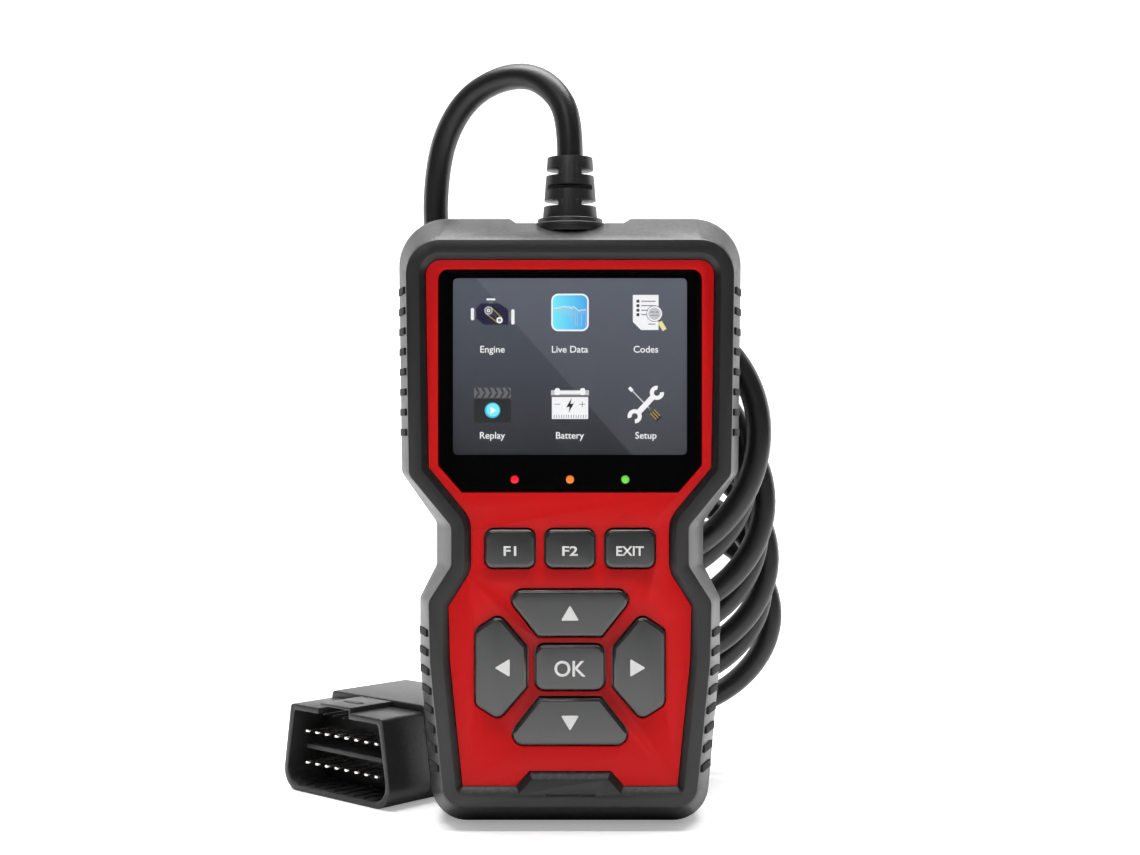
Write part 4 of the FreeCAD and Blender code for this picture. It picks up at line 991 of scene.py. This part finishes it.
def makeScrews():
    thin, long = screws["cross"]
    cross = [(thin, thin), (thin, long), (-thin, long), (-thin, thin), (-long, thin), (-long, -thin),
             (-thin, -thin), (-thin, -long), (thin, -long), (thin, -thin), (long, -thin), (long, thin)]
    angles = sorted({round(math.atan2(z, x), 5) for x, z in cross}
                    | {round(math.radians(10 + 20 * k - 180), 5) for k in range(18)})

    def circle(radius, y):
        return [(radius * math.cos(a), y, radius * math.sin(a)) for a in angles]

    def crossed(y):
        return upright(starLoop(cross, (0, 0), angles), y)

    level = screws["tip"] + screws["taper"]
    rings = [circle(screws["point"], screws["tip"]), circle(screws["thread"], level)]
    while level + screws["pitch"] < screws["under"] - screws["plain"]:
        rings.append(circle(screws["shank"], level + screws["pitch"] / 2))
        rings.append(circle(screws["thread"], level + screws["pitch"]))
        level += screws["pitch"]
    rings += [circle(screws["shank"], level + 0.4), circle(screws["shank"], screws["under"]),
              circle(screws["head"], screws["under"]), circle(screws["head"], screws["edge"]),
              circle(screws["lip"], screws["top"]), crossed(screws["top"]), crossed(screws["crossFloor"])]
    pairs = []
    for half, z, seed in screws["rows"]:
        pairs.append(setOut("screws_%d" % z, lofted(rings), finishes["screwSteel"], 2, 1, 2 * half, 0.0,
                            (-half, 0.0, z), turn=screws["mostTurn"], seed=seed))
    piece = together(*pairs)
    piece.name = "screw_set"
    onBody(piece, "case", ["case_screws"])


# plug: its pins, the ridges inside the mouth and the grooves on top, in the plug's own frame; the grooves are
# drawn flat, a dark oval of painted shade under a smaller plug-plastic one
plug = {
    "at": (-62.0, 21.0, 0.0), "turn": -42.0, "columns": 8, "pitch": 4.0,
    "pin": {"half": 0.85, "high": 0.45, "front": 2.0, "back": 11.5, "rows": (7.65, 16.15)},
    "ridge": {"wide": 0.9, "high": 0.42, "front": 1.1, "back": 11.3, "rows": (1.79, 21.61)},
    "ovals": [(7.2, 2.4, 6.4, 24.9, 0.05), (5.2, 1.0, 6.4, 24.95, 0.04)],
}


def ontoPlug(piece):
    piece.data.transform(Matrix.Translation([part * mm for part in plug["at"]])
                         @ Matrix.Rotation(math.radians(plug["turn"]), 4, "Z"))
    return piece


def makePlugDetail():
    start = -plug["pitch"] * (plug["columns"] - 1) / 2
    pin = plug["pin"]

    def section(share, y, wide, high):
        return upright(roundedBox(2 * wide * share, 2 * high * share, 0.3 * share, steps=3), y)

    rings = [section(share, y, pin["half"], pin["high"])
             for share, y in ((0.62, pin["front"]), (0.9, pin["front"] + 0.35), (1.0, pin["front"] + 0.9),
                              (1.0, pin["back"]))]
    low, high = pin["rows"]
    pins = ontoPlug(setOut("plug_pin_rows", lofted(rings), finishes["pinNickel"], plug["columns"], 2,
                           plug["pitch"], high - low, (start, 0.0, low)))
    onBody(pins, "case", ["plug_pins"])
    ridge = plug["ridge"]
    rings = [section(share, y, ridge["wide"] / 2, ridge["high"] / 2)
             for share, y in ((0.7, ridge["front"]), (1.0, ridge["front"] + 0.5), (1.0, ridge["back"]))]
    low, high = ridge["rows"]
    ridges = ontoPlug(setOut("plug_mouth_ridges", lofted(rings), finishes["plugPlastic"], plug["columns"], 2,
                             plug["pitch"], high - low, (start, 0.0, low)))
    onBody(ridges, "case")
    work = bmesh.new()
    # the groove is painted shade: a thin dark oval with a smaller plug-plastic oval laid over it
    for layer, (long, wide, y, level, deep) in enumerate(plug["ovals"]):
        addSlab(work, roundedBox(long, wide, wide / 2 - 0.01, 0.0, y), -level, deep, layer)
    bmesh.ops.rotate(work, verts=work.verts, cent=(0, 0, 0), matrix=Matrix.Rotation(-math.pi / 2, 3, "X"))
    groove = finished("plug_key_groove", work, [finishes["paintedShadeDark"], finishes["plugPlastic"]])
    return [pins, ridges, ontoPlug(groove)]


# dark discs in the dimples at the ends of the boot's front slots: painted shade
dimples = {"radius": 0.6, "half": 1.8, "levels": [(154.2, -6.36), (161.9, -5.76)], "deep": 0.5}


def makeDimples():
    for z, front in dimples["levels"]:
        rings = [upright(disc(dimples["radius"] * share, count=24), front + more)
                 for share, more in ((0.8, 0.0), (1.0, 0.06), (1.0, dimples["deep"]))]
        piece = setOut("boot_dimples_%d" % z, lofted(rings), finishes["paintedShadeDark"], 2, 1, 2 * dimples["half"],
                       0.0, (-dimples["half"], 0.0, z))
        onBody(piece, "case")


# print on the back label: a frame, a rule and a few plain bars
label = {
    "back": 13.5, "thick": 0.03, "middle": 108.0, "frame": (41.0, 27.0, 1.4), "inner": (40.2, 26.2, 1.1),
    "square": (-13.0, 4.6, 7.0, 0.4), "ruleDrop": 5.2,
    # x, height over the middle, length
    "bars": [(-8.0, 8.4, 20.0), (-10.5, 4.9, 15.0), (-6.5, 1.4, 23.0), (-9.0, -2.1, 18.0),
             (-11.0, -8.4, 14.0), (8.5, -8.4, 10.0)],
}


def makeLabelPrint():
    work = bmesh.new()
    outer, inner = (roundedBox(wide, high, radius, 0.0, label["middle"])
                    for wide, high, radius in (label["frame"], label["inner"]))
    front = label["back"] - 0.01
    addRing(work, outer, inner, front, label["thick"])
    for x, z, long in label["bars"]:
        addSlab(work, roundedBox(long, 1.1, 0.3, -x, label["middle"] + z), front, label["thick"])
    addSlab(work, roundedBox(36.0, 0.3, 0.1, 0.0, label["middle"] - label["ruleDrop"]), front, label["thick"])
    x, z, side, line = label["square"]
    z += label["middle"]
    addRing(work, roundedBox(side, side, 0.8, x, z), roundedBox(side - 2 * line, side - 2 * line, 0.5, x, z),
            front, label["thick"])
    finished("label_print", work, [finishes["labelInk"]])


makeScrews()
plugDetail = makePlugDetail()
makeDimples()
makeLabelPrint()
print("repeats ready")


# indicator lights

def glowingPlastic(name, colour, strength):
    finish = moulded(name, colour, 0.25, relief=0.03, spread=0.04, wear=0.0, dust=0.0)
    shader = finish.node_tree.nodes["Principled BSDF"]
    put(shader, {"Emission Color": colour, "Emission Strength": strength})
    return finish


lights = {"led_red": (236, 14, 34), "led_amber": (245, 122, 38), "led_green": (104, 198, 66)}
for node, colour in lights.items():
    eased(node, 0.3, glowingPlastic(node.replace("led_", "lamp"), tone(*colour), 0.45))


# key legends

legends = {
    "front": -13.205, "thick": 0.03,
    "words": {"key_f1": ("F1", 2.25, -14.6, 68.2, 3.1), "key_f2": ("F2", 2.25, 0.0, 68.2, 3.8),
              "key_exit": ("EXIT", 2.25, 14.6, 68.2, 6.7), "key_ok": ("OK", 3.75, 0.0, 39.6, 7.6)},
    "arrows": {"key_up": (0.0, 53.1, 90), "key_down": (0.0, 26.3, -90),
               "key_left": (-16.5, 39.75, 180), "key_right": (16.5, 39.75, 0)},
    "arrowLong": 3.7, "arrowWide": 4.4, "arrowCorner": 0.45,
}


def makeLegends():
    for node, (words, high, x, z, wide) in legends["words"].items():
        printed(node + "_legend", words, high, x, z, legends["front"], finishes["legendWhite"], wide=wide,
                weight=0.07, body=node)
    long = legends["arrowLong"] / 2
    half = legends["arrowWide"] / 2
    for node, (x, z, facing) in legends["arrows"].items():
        angle = math.radians(facing)
        shape = softCorners([(-long, -half), (long, 0.0), (-long, half)], legends["arrowCorner"])
        turned = [(x + a * math.cos(angle) - b * math.sin(angle),
                   z + a * math.sin(angle) + b * math.cos(angle)) for a, b in shape]
        work = bmesh.new()
        addSlab(work, turned, legends["front"] - legends["thick"] / 2, legends["thick"])
        finished(node + "_legend", work, [finishes["legendWhite"]], body=node)


makeLegends()
print("legends ready")


# cord: its finish, and on the case body with its plug, in place of the cable pieces

cablePiece.data.materials.append(finishes["cordJacket"])
onBody(cablePiece, "case", ["cable_lead", "cable_coil", "cable_tail"])
